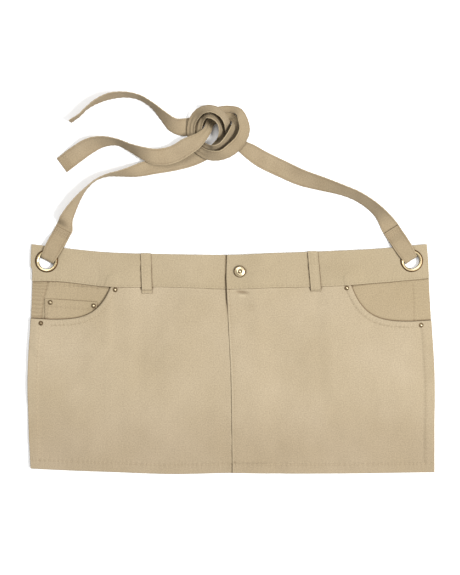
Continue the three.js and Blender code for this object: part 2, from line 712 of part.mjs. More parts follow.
// Rows of a strap about its eyelet: folded end in front, turned through the hole, then behind
function eyeletRows(side) {
  const eye = eyelets[side];
  const half = strapThickness / 2;
  const pinched = strapInEyelet / strapWidth;
  const low = half;
  const high = eye.front + gap + half;
  const overBand = bands[side].top(eye.x, eye.y) + gap + half;
  const onStrap = strapThickness + gap * 1.3 + half;
  const turn = (high - low) / 2;
  const bendAt = turn + eyeletHole * 0.05;
  const rimEdge = eyeletRim / 2;
  const past = eye.clear;
  const row = (s, z, fold) => ({
    x: eye.x + s * eye.along[0],
    y: eye.y + s * eye.along[1],
    z,
    edge: [(eye.aside[0] * strapWidth * fold) / 2, (eye.aside[1] * strapWidth * fold) / 2, 0],
  });
  const bend = [15, 45, 75, 90, 105, 135, 165].map((degrees) => {
    const angle = THREE.MathUtils.degToRad(degrees);
    return row(bendAt - turn * Math.sin(angle), (high + low) / 2 + turn * Math.cos(angle), pinched);
  });
  return [
    row(past + flapLength, onStrap, 1),
    row(past + flapLength * 0.75, onStrap, 1),
    row(past + flapLength * 0.45, onStrap + strapSlack * 0.2, 1),
    row(past + flapLength * 0.2, (onStrap + overBand) / 2 + strapSlack * 0.6, 1),
    row(past, overBand + strapSlack * 0.5, 1),
    row(rimEdge + strapThickness * 2, high - strapSlack * 0.2, 0.97),
    row(rimEdge, high, 0.95),
    row(rimEdge / 2, high, 0.88),
    row(bendAt, high, pinched),
    ...bend,
    row(bendAt, low, pinched),
    row(rimEdge / 2, low, 0.88),
    row(rimEdge, low, 0.96),
    row(past, low, 1),
    row(past + flapLength * 0.75, low, 1),
    row(past + flapLength * 1.2, low, 1),
  ];
}

// Rows of the free strap, with each row's edge worked out from its roll and the way it runs
function freeRows(table, before) {
  const places = table.map((row) => {
    const middleX = knotMiddle.across * apronWidth;
    const middleY = topAt(0) + knotMiddle.rise * strapRise;
    return "east" in row
      ? [middleX + row.east * strapWidth, middleY + row.north * strapWidth]
      : [row.across * apronWidth, topAt(0) + row.rise * strapRise];
  });
  return table.map((row, i) => {
    const [x, y] = places[i];
    const [x0, y0] = i ? places[i - 1] : [before.x, before.y];
    const [x1, y1] = places[Math.min(i + 1, places.length - 1)];
    const length = Math.hypot(x1 - x0, y1 - y0);
    const right = [(y1 - y0) / length, -(x1 - x0) / length];
    const roll = THREE.MathUtils.degToRad(row.roll);
    const half = (strapWidth * row.fold) / 2;
    const level = Math.cos(roll) * half;
    const tall = Math.abs(Math.sin(roll)) * half + (Math.cos(roll) * strapThickness) / 2;
    const z = row.lift * (strapThickness + strapSlack) + tall;
    return { x, y, z, edge: [right[0] * level, right[1] * level, Math.sin(roll) * half] };
  });
}

// A flat strap through its rows, with a square section
function strap(rows) {
  const edgeCurve = (sign) =>
    new THREE.CatmullRomCurve3(
      rows.map(({ x, y, z, edge }) =>
        new THREE.Vector3(x + sign * edge[0], y + sign * edge[1], z + sign * edge[2]),
      ),
    );
  const left = edgeCurve(-1);
  const right = edgeCurve(1);
  const marks = [0];
  rows.slice(1).forEach((row, i) => {
    const { x, y, z } = rows[i];
    const length = Math.hypot(row.x - x, row.y - y, row.z - z);
    const pieces = Math.max(1, Math.round(length / strapStep));
    for (let k = 1; k <= pieces; k += 1) marks.push((i + k / pieces) / (rows.length - 1));
  });
  const middle = (t) => left.getPoint(t).add(right.getPoint(t)).multiplyScalar(0.5);
  const points = [];
  marks.forEach((t) => {
    const a = left.getPoint(t);
    const b = right.getPoint(t);
    a.z = Math.max(a.z, strapThickness / 2);
    b.z = Math.max(b.z, strapThickness / 2);
    const along = middle(Math.min(t + 1e-3, 1)).sub(middle(Math.max(t - 1e-3, 0)));
    const face = b.clone().sub(a).cross(along).normalize().multiplyScalar(strapThickness / 2);
    [a.clone().add(face), b.clone().add(face), b.clone().sub(face), a.clone().sub(face)].forEach((p) =>
      points.push(p.x, p.y, p.z),
    );
  });
  const faces = [];
  const quad = (p, q, r, s) => faces.push(p, q, r, p, r, s);
  for (let i = 0; i < marks.length - 1; i += 1) {
    for (let k = 0; k < 4; k += 1) {
      const next = (k + 1) % 4;
      quad(4 * i + k, 4 * i + next, 4 * i + 4 + next, 4 * i + 4 + k);
    }
  }
  const last = 4 * (marks.length - 1);
  quad(3, 2, 1, 0);
  quad(last, last + 1, last + 2, last + 3);
  const geometry = new THREE.BufferGeometry();
  geometry.setAttribute("position", new THREE.Float32BufferAttribute(points, 3));
  geometry.setIndex(faces);
  return geometry;
}

function wholeStrap(side, tables) {
  const rows = eyeletRows(side);
  tables.forEach((table) => rows.push(...freeRows(table, rows[rows.length - 1])));
  return strap(rows);
}
add("strap_left", wholeStrap("left", [[...leftRun, ...leftKnot, ...lowerTail]]), twill);
add("strap_right", wholeStrap("right", [[...rightRun, ...rightKnot, ...upperTail]]), twill);

// The origin is on the floor under the middle of the apron with its straps
const box = new THREE.Box3().setFromObject(apron);
const middle = box.getCenter(new THREE.Vector3());
apron.position.set(-middle.x, -middle.y, -box.min.z);

export default apron;
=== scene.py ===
# %% [markdown]
# A twill waist apron, laid flat with its straps knotted
# The apron is short and wide: two front panels meet under a waistband that closes with a tack button.
# Two flat straps are folded through brass eyelets in the ends of the band and knotted above it.
# The frame holds plain solids of every piece. Each is rebuilt here as fine cloth or turned brass in the same place.

# %%
import math
import bmesh
import bpy
import numpy as np
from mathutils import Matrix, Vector


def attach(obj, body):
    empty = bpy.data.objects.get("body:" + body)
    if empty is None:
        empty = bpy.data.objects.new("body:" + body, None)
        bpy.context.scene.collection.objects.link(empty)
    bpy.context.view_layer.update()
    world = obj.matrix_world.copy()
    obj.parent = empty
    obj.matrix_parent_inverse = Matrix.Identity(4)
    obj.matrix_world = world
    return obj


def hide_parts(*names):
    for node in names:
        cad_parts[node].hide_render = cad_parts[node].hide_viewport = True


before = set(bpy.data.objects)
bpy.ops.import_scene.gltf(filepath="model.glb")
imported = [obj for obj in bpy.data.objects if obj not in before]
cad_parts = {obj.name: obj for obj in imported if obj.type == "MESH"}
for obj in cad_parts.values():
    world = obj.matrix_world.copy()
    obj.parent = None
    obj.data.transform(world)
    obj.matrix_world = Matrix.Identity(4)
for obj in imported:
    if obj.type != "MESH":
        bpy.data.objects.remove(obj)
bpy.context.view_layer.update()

# %% [markdown]
# The plan of the apron
# All sizes are in millimetres, X along the waistband and Y from the hem upwards, and turn into metres only in a mesh.
# Every cloth is bounded by the same few smooth edges, so one table across and one table up hold the whole outline.
# Traced point lists would do the same, but a table of shares is short and scales with the apron.

# %%
apron_width, apron_height, strap_rise = 609, 328, 247
middle_x, middle_y = -0.1, -284.9

# Columns: across as a share of the width, then hem, waistband seam and top as shares of the height
edges_across = np.array([
    (-0.5, 0.025, 0.88, 1.051), (-0.42, 0.017, 0.878, 1.033), (-0.3, 0.009, 0.854, 1.011),
    (-0.15, -0.001, 0.853, 1.003), (0, 0.004, 0.844, 1.0), (0.1, 0.002, 0.85, 1.008),
    (0.25, 0.001, 0.857, 1.018), (0.38, 0.004, 0.875, 1.031), (0.5, 0.007, 0.895, 1.053),
])

# Columns: up as a share of the height, then left side, centre edge and right side as shares of the width
edges_up = np.array([
    (0, -0.493, 0.003, 0.5), (0.18, -0.498, 0.002, 0.5), (0.43, -0.5, 0, 0.5), (0.7, -0.492, -0.007, 0.491),
    (0.89, -0.489, -0.012, 0.485), (0.91, -0.493, -0.012, 0.485), (1.05, -0.489, -0.01, 0.479),
])


def read(table, at, column):
    """A column of a table between its rows, along a smooth curve."""
    keys, values = table[:, 0], table[:, column]
    i = np.clip(np.searchsorted(keys, at) - 1, 0, len(keys) - 2)
    before, after = np.maximum(i - 1, 0), np.minimum(i + 2, len(keys) - 1)
    span = keys[i + 1] - keys[i]
    t = np.clip((at - keys[i]) / span, 0, 1)
    lead_in = (values[i + 1] - values[before]) / (keys[i + 1] - keys[before]) * span
    lead_out = (values[after] - values[i]) / (keys[after] - keys[i]) * span
    rest = (1 - t) ** 2
    return ((1 + 2 * t) * rest * values[i] + t * rest * lead_in
            + t * t * (3 - 2 * t) * values[i + 1] + t * t * (t - 1) * lead_out)


def edge_of(table, column, length, run):
    """One edge of the outline, as a function of the place along its table."""
    return lambda at: length * read(table, np.asarray(at) / run, column)


hem_at, seam_at, top_at = (edge_of(edges_across, k, apron_height, apron_width) for k in (1, 2, 3))
left_at, centre_at, right_at = (edge_of(edges_up, k, apron_width, apron_height) for k in (1, 2, 3))
words = {-1: "left", 1: "right"}


def between(left, right, lower, upper):
    """The plan of a piece from shares across and up, blended between its four edges."""
    def plan(u, v):
        guess = lower(0) + (upper(0) - lower(0)) * v
        x = left(guess) + (right(guess) - left(guess)) * u
        return x, lower(x) + (upper(x) - lower(x)) * v
    return plan


print("hem to waistband top at the middle:", float(top_at(0) - hem_at(0)), "mm")

# %% [markdown]
# How the cloth lies
# Laid cloth is never level: it rises in wide soft waves and has finer ripples left from washing.
# A cloth simulation could find such a lie, but the apron in view is at rest, so a few smooth sums give the same look
# and keep every layer in step. Where a layer covers another one it bridges past the edge and slopes down again.

# %%
cloth, band_thickness, gap = 1.2, 2.2, 0.3
hem_depth, seam_tuck, panel_lap, band_lap = 15, 8, 30, 42

# Columns: across and reach as shares of the width, up as a share of the height, lift
waves = [
    (-0.36, 0.1, 0.1, 1.6), (0.17, 0.02, 0.1, 1.4), (0.46, 0.3, 0.11, 1.8), (-0.13, 0.62, 0.1, 1.5),
    (0.2, 0.6, 0.1, 1.3), (-0.3, 0.45, 0.08, 1.0), (0.05, 0.3, 0.09, 1.2), (0.33, 0.42, 0.08, 1.1),
]


def ripples(x, y, length, height, seed, parts=7):
    """Smooth random ripples of about one length, from nothing up to a height."""
    chance = np.random.default_rng(seed)
    total = np.zeros(np.broadcast(x, y).shape)
    for _ in range(parts):
        turn, phase = chance.uniform(0, 2 * math.pi, 2)
        pitch = length * chance.uniform(0.7, 1.5)
        total = total + np.cos((x * math.cos(turn) + y * math.sin(turn)) * 2 * math.pi / pitch + phase)
    return height * (0.5 + 0.5 * total / parts)


def wave_at(x, y):
    """Height of the lowest cloth's underside over the floor."""
    total = ripples(x, y, 85, 3.2, 3) + ripples(x, y, 30, 0.9, 5)
    for across, up, reach, lift in waves:
        q = np.hypot(x - across * apron_width, y - up * apron_height) / (reach * apron_width)
        total = total + lift * np.clip(1 - q * q, 0, 1) ** 2
    return total


def near_line(line, x, y):
    """Distance from points to a line, and how far along the line they are."""
    nearest, along, run = np.full(np.shape(x), 1e9), np.zeros(np.shape(x)), 0
    for (x0, y0), (x1, y1) in zip(line[:-1], line[1:]):
        length = math.hypot(x1 - x0, y1 - y0) + 1e-9
        t = np.clip(((x - x0) * (x1 - x0) + (y - y0) * (y1 - y0)) / length ** 2, 0, 1)
        away = np.hypot(x - x0 - t * (x1 - x0), y - y0 - t * (y1 - y0))
        along = np.where(away < nearest, run + t * length, along)
        nearest = np.minimum(nearest, away)
        run += length
    return nearest, along


def inside_by(outline, x, y):
    """Distance inside an outline, below zero outside it."""
    outline = np.asarray(outline, float)
    closed = np.vstack([outline, outline[:1]])
    inside = np.zeros(np.shape(x), bool)
    for (x0, y0), (x1, y1) in zip(closed[:-1], closed[1:]):
        crosses = (y0 > y) != (y1 > y)
        inside ^= crosses & (x < x0 + (y - y0) * (x1 - x0) / (y1 - y0 + 1e-12))
    nearest, _ = near_line(closed, x, y)
    return np.where(inside, nearest, -nearest)


def smooth(value, low, high):
    t = np.clip((value - low) / (high - low), 0, 1)
    return t * t * (3 - 2 * t)


def bell(away, width):
    """1 on a line, fading to nothing beside it."""
    return np.exp(-(away / width) ** 2)


def lay_over(layers, near=12, down=26):
    """Underside of a cloth that lies over other layers."""
    def under(x, y):
        floor = wave_at(x, y)
        raised = np.zeros(np.shape(x))
        for layer in layers:
            covered = smooth(inside_by(layer["outline"], x, y), -near - down, -near)
            if "cut" in layer:
                covered = covered * (1 - smooth(inside_by(layer["cut"], x, y), near, near + down))
            raised = np.maximum(raised, covered * (layer["top"](x, y) + gap - floor))
        return floor + raised
    return under


def outline_of(plan, count=40):
    """The outline of a piece, from its plan."""
    share = np.linspace(0, 1, count)
    sides = [plan(share, 0 * share), plan(0 * share + 1, share)]
    sides += [plan(share[::-1], 0 * share + 1), plan(0 * share, share[::-1])]
    return np.vstack([np.column_stack(np.broadcast_arrays(*side)) for side in sides])


print("waves lift the cloth up to", round(float(wave_at(*np.mgrid[-300:300:40j, 0:320:30j]).max()), 1), "mm")

# %% [markdown]
# Sewing
# A row of stitches pulls its cloth into a fine groove with small puckers on both sides.
# The grooves are part of the cloth's height, and the threads are short rounded tubes that dip in at both ends.

# %%
def relief(seams, x, y):
    """Height that rows of sewing add to a cloth's face: columns line, groove, pucker."""
    total = np.zeros(np.shape(x))
    for line, groove, pucker in seams:
        away, along = near_line(line, x, y)
        total = total - groove * bell(away, 1.5)
        wobble = np.sin(2 * math.pi * along / 6.5 + 2.5 * np.sin(along / 19) + 1.3 * np.sin(along / 7.3))
        total = total + pucker * wobble * bell(away, 4.5)
    return total


def creases(places, x, y):
    """Height of single soft creases: columns start, end, height and width."""
    total = np.zeros(np.shape(x))
    for start, end, height, width in places:
        away, along = near_line(line_between(start, end, 2), x, y)
        length = math.dist(start, end)
        total = total + height * bell(away, width) * np.sin(math.pi * np.clip(along / length, 0.02, 0.98))
    return total


def line_between(start, end, count=40):
    t = np.linspace(0, 1, count)[:, None]
    return np.asarray(start) * (1 - t) + np.asarray(end) * t


def circle(x, y, radius, count):
    turns = np.linspace(0, 2 * math.pi, count, endpoint=False)
    return np.column_stack([x + radius * np.cos(turns), y + radius * np.sin(turns)])


def offset_line(line, distance):
    """A line moved to its left."""
    way = np.gradient(line, axis=0)
    way /= np.linalg.norm(way, axis=1, keepdims=True)
    return line + distance * np.column_stack([-way[:, 1], way[:, 0]])


sewn = relief([(line_between((0, 0), (40, 0)), 0.4, 0.2)], np.linspace(0, 40, 80), np.zeros(80))
print("a row of stitches moves its cloth by", round(float(np.ptp(sewn)), 2), "mm")

# %% [markdown]
# Meshes of cloth
# Each cloth starts as a grid that is bent to its plan, and is then extruded to its thickness.
# The rim is drawn in so that it reads as a soft fold, and the UV map keeps the weave in millimetres.

# %%
def marks(length, step):
    """Shares from 0 to 1 at even steps, closer together at the edges."""
    fine = np.array([0.5, 1.3])
    start, end = [0, *(fine / length)], [*(1 - fine[::-1] / length), 1]
    count = max(2, round((end[0] - start[-1]) * length / step) + 1)
    return np.concatenate([start[:-1], np.linspace(start[-1], end[0], count), end[1:]])


def grid(columns, rows):
    bm = bmesh.new()
    bmesh.ops.create_grid(bm, x_segments=len(columns) - 1, y_segments=len(rows) - 1, size=0.5)
    for v in bm.verts:
        v.co.x = columns[round((v.co.x + 0.5) * (len(columns) - 1))]
        v.co.y = rows[round((v.co.y + 0.5) * (len(rows) - 1))]
    return bm


def spread(bm, plan):
    """Moves a grid of shares to its plan."""
    x, y = np.broadcast_arrays(*plan(*np.array([v.co[:2] for v in bm.verts]).T))
    for v, px, py in zip(bm.verts, x, y):
        v.co.xy = px, py


def cut_away(bm, outline, reach=1.6):
    """Takes an outline out of a laid grid and draws the new edge onto it."""
    middles = np.array([f.calc_center_median()[:2] for f in bm.faces])
    gone = inside_by(outline, middles[:, 0], middles[:, 1]) > 0
    bmesh.ops.delete(bm, geom=[f for f, g in zip(bm.faces, gone) if g], context="FACES")
    closed = np.vstack([outline, outline[:1]])
    start, way = closed[:-1], np.diff(closed, axis=0)
    for v in [v for v in bm.verts if v.is_boundary]:
        here = np.array(v.co[:2])
        t = np.clip(((here - start) * way).sum(axis=1) / (way ** 2).sum(axis=1), 0, 1)
        spots = start + t[:, None] * way
        away = np.hypot(*(spots - here).T)
        if away.min() < reach:
            v.co.xy = spots[away.argmin()]


def new_object(name, data):
    made = bpy.data.objects.new(name, data)
    bpy.context.collection.objects.link(made)
    return made


def shown(bm, name, material):
    mesh = bpy.data.meshes.new(name)
    bm.to_mesh(mesh)
    bm.free()
    mesh.materials.append(material)
    mesh.shade_smooth()
    piece = new_object(name, mesh)
    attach(piece, "root")
    return piece


def in_frame(x, y, z):
    """Millimetres of the plan as metres of the frame."""
    return np.column_stack(np.broadcast_arrays(x + middle_x, y + middle_y, z)) * 0.001


def thicken(bm, place, name, material, warp_along_x=False, tone=None):
    """Extrudes a laid grid to a cloth: place gives x, y and z for the lower and the upper face."""
    shade = bm.verts.layers.float.new("tone")
    bm.verts.ensure_lookup_table()
    if tone:
        for v, value in zip(bm.verts, tone(*np.array([v.co[:2] for v in bm.verts]).T)):
            v[shade] = value
    lower = bm.verts[:]
    rims = {v.co.to_tuple(3) for v in lower if v.is_boundary}
    made = bmesh.ops.extrude_face_region(bm, geom=bm.faces[:], use_keep_orig=True)
    upper = [g for g in made["geom"] if isinstance(g, bmesh.types.BMVert)]
    bm.verts.index_update()
    flat = np.zeros((len(bm.verts), 2))
    for side, verts in enumerate((lower, upper)):
        spots = np.array([v.co[:2] for v in verts])
        rim = np.array([v.co.to_tuple(3) in rims for v in verts])
        placed = in_frame(*place(spots[:, 0], spots[:, 1], side, rim))
        for v, spot, co in zip(verts, spots, placed):
            flat[v.index] = spot[::-1] if warp_along_x else spot
            v.co = co
    weave = bm.loops.layers.uv.new("weave")
    for face in bm.faces:
        for loop in face.loops:
            loop[weave].uv = flat[loop.vert.index]
    bmesh.ops.recalc_face_normals(bm, faces=bm.faces)
    return shown(bm, name, material)


def laid(under, thick, face):
    """Place for a cloth that lies on an underside, with its rim drawn in by a share."""
    def place(x, y, side, rim):
        low, depth = under(x, y), thick(x, y)
        drawn = np.where(rim, 0.3, 0) * depth
        z = low + drawn if side == 0 else low + depth - drawn + face(x, y)
        return x, y, z
    return place


print("places across a strip 10 mm wide:", np.round(marks(10, 2) * 10, 1), "mm")

# %% [markdown]
# Materials
# Twill shows a fine slanted rib, which one node group makes from the UV map in millimetres.
# The colour is built up from three scales: wide wash tones, small slubs and the rib itself.
# An image of cloth would repeat and blur up close, so the weave is worked out at every point.

# %%
def node(tree, kind, inputs=(), **settings):
    made = tree.nodes.new(kind)
    for key, value in settings.items():
        setattr(made, key, value)
    for key, value in dict(inputs).items():
        if isinstance(value, bpy.types.NodeSocket):
            tree.links.new(value, made.inputs[key])
        else:
            made.inputs[key].default_value = value
    return made


def ranged(tree, value, low=0.0, high=1.0, to_low=0.0, to_high=1.0):
    """A value moved from one range to another."""
    return node(tree, "ShaderNodeMapRange", {"Value": value, "From Min": low, "From Max": high,
                                             "To Min": to_low, "To Max": to_high}).outputs["Result"]


def mixed(tree, factor, low, high, blend="MIX"):
    """Two colours mixed by a factor."""
    return node(tree, "ShaderNodeMix", {"Factor": factor, "A": low, "B": high}, data_type="RGBA",
                blend_type=blend).outputs["Result"]


def new_material(name):
    material = bpy.data.materials.new(name)
    material.use_nodes = True
    material.node_tree.nodes.clear()
    return material, material.node_tree


def shaded(tree, inputs):
    """Ends a material in its shader."""
    shader = node(tree, "ShaderNodeBsdfPrincipled", inputs)
    node(tree, "ShaderNodeOutputMaterial", {"Surface": shader.outputs["BSDF"]})


def weave_group():
    """Twill ribs, slubs and wash tones from a place in millimetres, each from 0 to 1."""
    tree = bpy.data.node_groups.new("twill weave", "ShaderNodeTree")
    tree.interface.new_socket(name="Place", in_out="INPUT", socket_type="NodeSocketVector")
    for label in ("Rib", "Slub", "Wash"):
        tree.interface.new_socket(name=label, in_out="OUTPUT", socket_type="NodeSocketFloat")
    place = tree.nodes.new("NodeGroupInput").outputs["Place"]
    rib = node(tree, "ShaderNodeTexWave", {"Vector": place, "Scale": 0.42, "Distortion": 0.6, "Detail": 1.0,
                                          "Detail Scale": 2.0}, bands_direction="DIAGONAL")
    slub = node(tree, "ShaderNodeTexNoise", {"Vector": place, "Scale": 0.55, "Detail": 3.0, "Roughness": 0.65})
    wash = node(tree, "ShaderNodeTexNoise", {"Vector": place, "Scale": 0.009, "Detail": 3.0, "Roughness": 0.5})
    node(tree, "NodeGroupOutput", {"Rib": rib.outputs["Fac"], "Slub": slub.outputs["Fac"],
                                   "Wash": wash.outputs["Fac"]})
    return tree


weave = weave_group()


def twill(name, light, dark, bump=0.25):
    """A cotton twill between two tones, with painted shade and highlight from its vertex tone and painted crevice
    shade where cloth lies close to cloth.
    """
    material, tree = new_material(name)
    place = node(tree, "ShaderNodeUVMap", uv_map="weave").outputs["UV"]
    group = node(tree, "ShaderNodeGroup", {}, node_tree=weave)
    tree.links.new(place, group.inputs["Place"])
    rib, slub, wash = (group.outputs[label] for label in ("Rib", "Slub", "Wash"))
    tone = mixed(tree, ranged(tree, wash, 0.3, 0.7), (*dark, 1), (*light, 1))
    weaving = node(tree, "ShaderNodeVectorMath", {0: ranged(tree, slub, 0.3, 0.7, 0.82, 1.14),
                                                  1: ranged(tree, rib, 0, 1, 0.93, 1.03)}, operation="MULTIPLY")
    # Painted shade and highlight: the vertex tone makes the cloth browner and darker in grooves, hollows and contact
    # lines, and lighter on lit edges and crests
    painted_shade_and_wear = node(tree, "ShaderNodeAttribute", attribute_name="tone").outputs["Fac"]
    share = mixed(tree, ranged(tree, painted_shade_and_wear, -2), (0.2, 0.1, 0.03, 1), (1.4, 1.45, 1.48, 1))
    both = node(tree, "ShaderNodeVectorMath", {0: weaving.outputs["Vector"], 1: share}, operation="MULTIPLY")
    woven = mixed(tree, 1, tone, both.outputs["Vector"], "MULTIPLY")
    # Painted shade: the colour darkens to brown where other cloth lies within 5 mm
    crevice_occlusion = node(tree, "ShaderNodeAmbientOcclusion", {"Distance": 0.005}, samples=8).outputs["AO"]
    painted_crevice_shade = mixed(tree, ranged(tree, crevice_occlusion, 0.25, 0.85), (0.22, 0.105, 0.035, 1), (1, 1, 1, 1))
    height = node(tree, "ShaderNodeMath", {0: rib, 1: slub}, operation="ADD").outputs["Value"]
    bumps = node(tree, "ShaderNodeBump", {"Height": height, "Strength": bump, "Distance": 0.0002})
    shaded(tree, {
        "Base Color": mixed(tree, 1, woven, painted_crevice_shade, "MULTIPLY"), "Roughness": 0.92,
        "Normal": bumps.outputs["Normal"], "Sheen Weight": 0.02, "Sheen Roughness": 0.6, "Specular IOR Level": 0.06,
    })
    return material


panel_twill = twill("panel twill", (0.335, 0.274, 0.189), (0.3, 0.242, 0.159))
facing_twill = twill("facing twill", (0.305, 0.243, 0.158), (0.272, 0.214, 0.132))
band_twill = twill("band twill", (0.315, 0.256, 0.17), (0.285, 0.229, 0.146))
strap_twill = twill("strap twill", (0.305, 0.243, 0.16), (0.262, 0.205, 0.127))
thread = twill("thread", (0.46, 0.38, 0.26), (0.42, 0.34, 0.225), bump=0.1)


def brass_material(name, bright, dark, roughness):
    """Brass that is polished on its high places and brown in its low ones; on the eyelets the same value also carries
    painted shade and highlight.
    """
    material, tree = new_material(name)
    painted_shade_and_wear = node(tree, "ShaderNodeAttribute", attribute_name="polish").outputs["Fac"]
    place = node(tree, "ShaderNodeTexCoord").outputs["Object"]
    specks = node(tree, "ShaderNodeTexNoise", {"Vector": place, "Scale": 900.0, "Detail": 3.0}).outputs["Fac"]
    polish = node(tree, "ShaderNodeMath", {0: painted_shade_and_wear, 1: ranged(tree, specks, 0.3, 0.7, -0.15, 0.15)},
                  operation="ADD", use_clamp=True).outputs["Value"]
    bumps = node(tree, "ShaderNodeBump", {"Height": specks, "Strength": 0.15, "Distance": 0.0001})
    shaded(tree, {
        "Base Color": mixed(tree, polish, (*dark, 1), (*bright, 1)), "Metallic": 1.0,
        "Roughness": ranged(tree, polish, 0, 1, roughness + 0.3, roughness), "Normal": bumps.outputs["Normal"],
    })
    return material


eyelet_brass = brass_material("eyelet brass", (0.60, 0.49, 0.29), (0.07, 0.034, 0.013), 0.27)
rivet_brass = brass_material("rivet brass", (0.52, 0.43, 0.275), (0.07, 0.04, 0.018), 0.33)
print("materials:", len(bpy.data.materials))

# %% [markdown]
# Pocket backs and the coin pocket
# Behind each pocket opening lies a facing on the pocket bag, the lowest cloth of the apron.
# The left one has a side strip seamed on, and the small coin pocket sewn over it.

# %%
pocket_width, pocket_underlap, pocket_bag_rise, pocket_over_seam, pocket_end_rise = 122, 14, 130, 10, 2
pocket_power_across, pocket_power_down = 5, 1.26
outer_at = {-1: left_at, 1: right_at}
pocket_drop = {-1: 49, 1: 55}
pocket_rise = {side: float(seam_at(outer_at[side](0) - side * pocket_width)) - drop
               for side, drop in pocket_drop.items()}
coin_width, coin_inset, coin_above, coin_below, coin_slant, coin_hem_drop = 78, 21, 31.5, 34, 5, 11.5


def pocket_edge(side):
    """Rounded edge of a pocket opening, from the waistband seam to the side."""
    rise = pocket_rise[side]
    outer = float(outer_at[side](rise))
    start = float(seam_at(outer - side * pocket_width)) + pocket_over_seam
    angle = np.linspace(0, math.pi / 2, 60)
    inward = np.cos(angle) ** (2 / pocket_power_across)
    down = (start - rise) * np.sin(angle) ** (2 / pocket_power_down)
    tilt = pocket_end_rise * np.clip(1 - 3 * inward, 0, 1) ** 2
    return np.column_stack([outer - side * pocket_width * inward, start - down + tilt])


def pocket_cut(side, past=90):
    """What the pocket opening takes off the front panel."""
    edge = pocket_edge(side)
    beyond = edge[-1, 0] + side * past
    return np.vstack([[(edge[0, 0], edge[0, 1] + past)], edge, [(beyond, edge[-1, 1]), (beyond, edge[0, 1] + past)]])


def pocket_back(side, seams):
    outer = outer_at[side]

    def inner(y):
        return outer(y) - side * (pocket_width + pocket_underlap)
    left, right = (outer, inner) if side < 0 else (inner, outer)
    plan = between(left, right, lambda x: pocket_bag_rise + 0 * np.asarray(x), lambda x: seam_at(x) + seam_tuck)
    under = lay_over([])
    edge = pocket_edge(side)

    def face(x, y):
        return relief(seams, x, y) + ripples(x, y, 14, 0.35, 21 + side) + strip_wrinkles(side, x, y)

    # Painted shade and highlight: darker in seam grooves and wrinkle hollows and in a painted shadow line under the
    # front panel's pocket edge, lighter on crests; the left side strip is darker
    def tone(x, y):
        outside = strip_wrinkles(side, x, y)
        return (0.4 * relief(seams, x, y) + 0.3 * outside - (0.18 if side < 0 else 0) * (np.abs(outside) > 0.02)
                - 0.8 * bell(near_line(edge, x, y)[0], 1.6))
    return {"plan": plan, "under": under, "outline": outline_of(plan), "face": face, "tone": tone,
            "top": lambda x, y: under(x, y) + cloth}


strip_left = np.array([(-273.9, 290.3), (-277, 276), (-280.7, 263), (-282.5, 248), (-283.9, 236.7), (-284.5, 222)])
strip_right = np.array([(271.5, 285), (273, 262), (273.5, 240), (273.5, 222)])
second_row = np.array([(-272, 281.5), (-263.2, 282.8), (-240, 281.6), (-214.9, 280), (-195, 277)])
facing_seams = {
    -1: [(strip_left, 0.9, 0.2), (second_row, 0.3, 0.12)],
    1: [(strip_right, 0.45, 0.15)],
}


def strip_wrinkles(side, x, y):
    """Wrinkles across the strip between a facing's seam and the side of the apron."""
    line = strip_left if side < 0 else strip_right
    outside = smooth((np.interp(y, line[::-1, 1], line[::-1, 0]) - x) * -side, -1, 2)
    return outside * np.sin(y * 1.15 + 2 * np.sin(y / 9) + 0.08 * x) * (0.5 if side < 0 else 0.15)


backs = {side: pocket_back(side, facing_seams[side]) for side in (-1, 1)}
coin_start = float(left_at(pocket_rise[-1])) + coin_inset
coin_top = pocket_rise[-1] + coin_above


def coin_plan(u, v):
    top = coin_top - u * coin_slant
    return coin_start + u * coin_width, (pocket_rise[-1] - coin_below) * (1 - v) + top * v


coin_hem = line_between((coin_start + 1, coin_top - coin_hem_drop),
                        (coin_start + coin_width - 1, coin_top - coin_hem_drop - coin_slant))
coin_side = line_between((coin_start + 2.5, coin_top - 1), (coin_start + 2.5, pocket_rise[-1] - coin_below))
coin_far = coin_side + (coin_width - 5, -coin_slant)
coin = {"plan": coin_plan, "outline": outline_of(coin_plan), "under": lay_over([backs[-1]])}
coin["top"] = lambda x, y: coin["under"](x, y) + cloth
coin_seams = [(coin_hem, 0.35, 0.12), (coin_side, 0.4, 0.1), (coin_far, 0.4, 0.1)]
coin["face"] = lambda x, y: relief(coin_seams, x, y) + ripples(x, y, 15, 0.4, 25)
# Painted shade: darker in the seam grooves and in a painted shadow line under the front panel's pocket edge
coin["tone"] = lambda x, y: (0.4 * relief(coin_seams, x, y)
                             - 0.8 * bell(near_line(pocket_edge(-1), x, y)[0], 1.6))


def flat_cloth(x, y):
    return cloth + 0 * x


for side, word in words.items():
    bm = grid(marks(pocket_width + pocket_underlap, 1.2), marks(apron_height - pocket_bag_rise - 40, 1.2))
    spread(bm, backs[side]["plan"])
    piece = thicken(bm, laid(backs[side]["under"], flat_cloth, backs[side]["face"]), "back_of_pocket_" + word,
                    facing_twill, tone=backs[side]["tone"])
    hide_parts("pocket_back_" + word)

bm = grid(marks(coin_width, 0.9), marks(coin_above + coin_below, 0.9))
spread(bm, coin_plan)
coin_piece = thicken(bm, laid(coin["under"], flat_cloth, coin["face"]), "small_pocket", facing_twill,
                     tone=coin["tone"])
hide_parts("coin_pocket")
print("pocket backs and coin pocket laid")

# %% [markdown]
# Front panels
# The panels lie over the pocket backs, with doubled hems, and the right one laps over the left at the centre.
# Their pocket edges are folded under and sewn down, which raises a puckered rim along the opening.

# %%
loop_width, loop_length, loop_thickness, loop_arch, loop_over_top = 15, 60, 1.5, 1.4, 0.8
# Columns: place as a share of the width, lean from the foot to the top
loops = {-1: (-0.21, -2), 1: (0.2, -5)}
topstitch_inset, stitch_inset, edge_stitch, band_stitch = 8.5, 1.5, 4, 2.2


def soft_step(x, edge):
    return smooth(x, edge - 1, edge + 1)


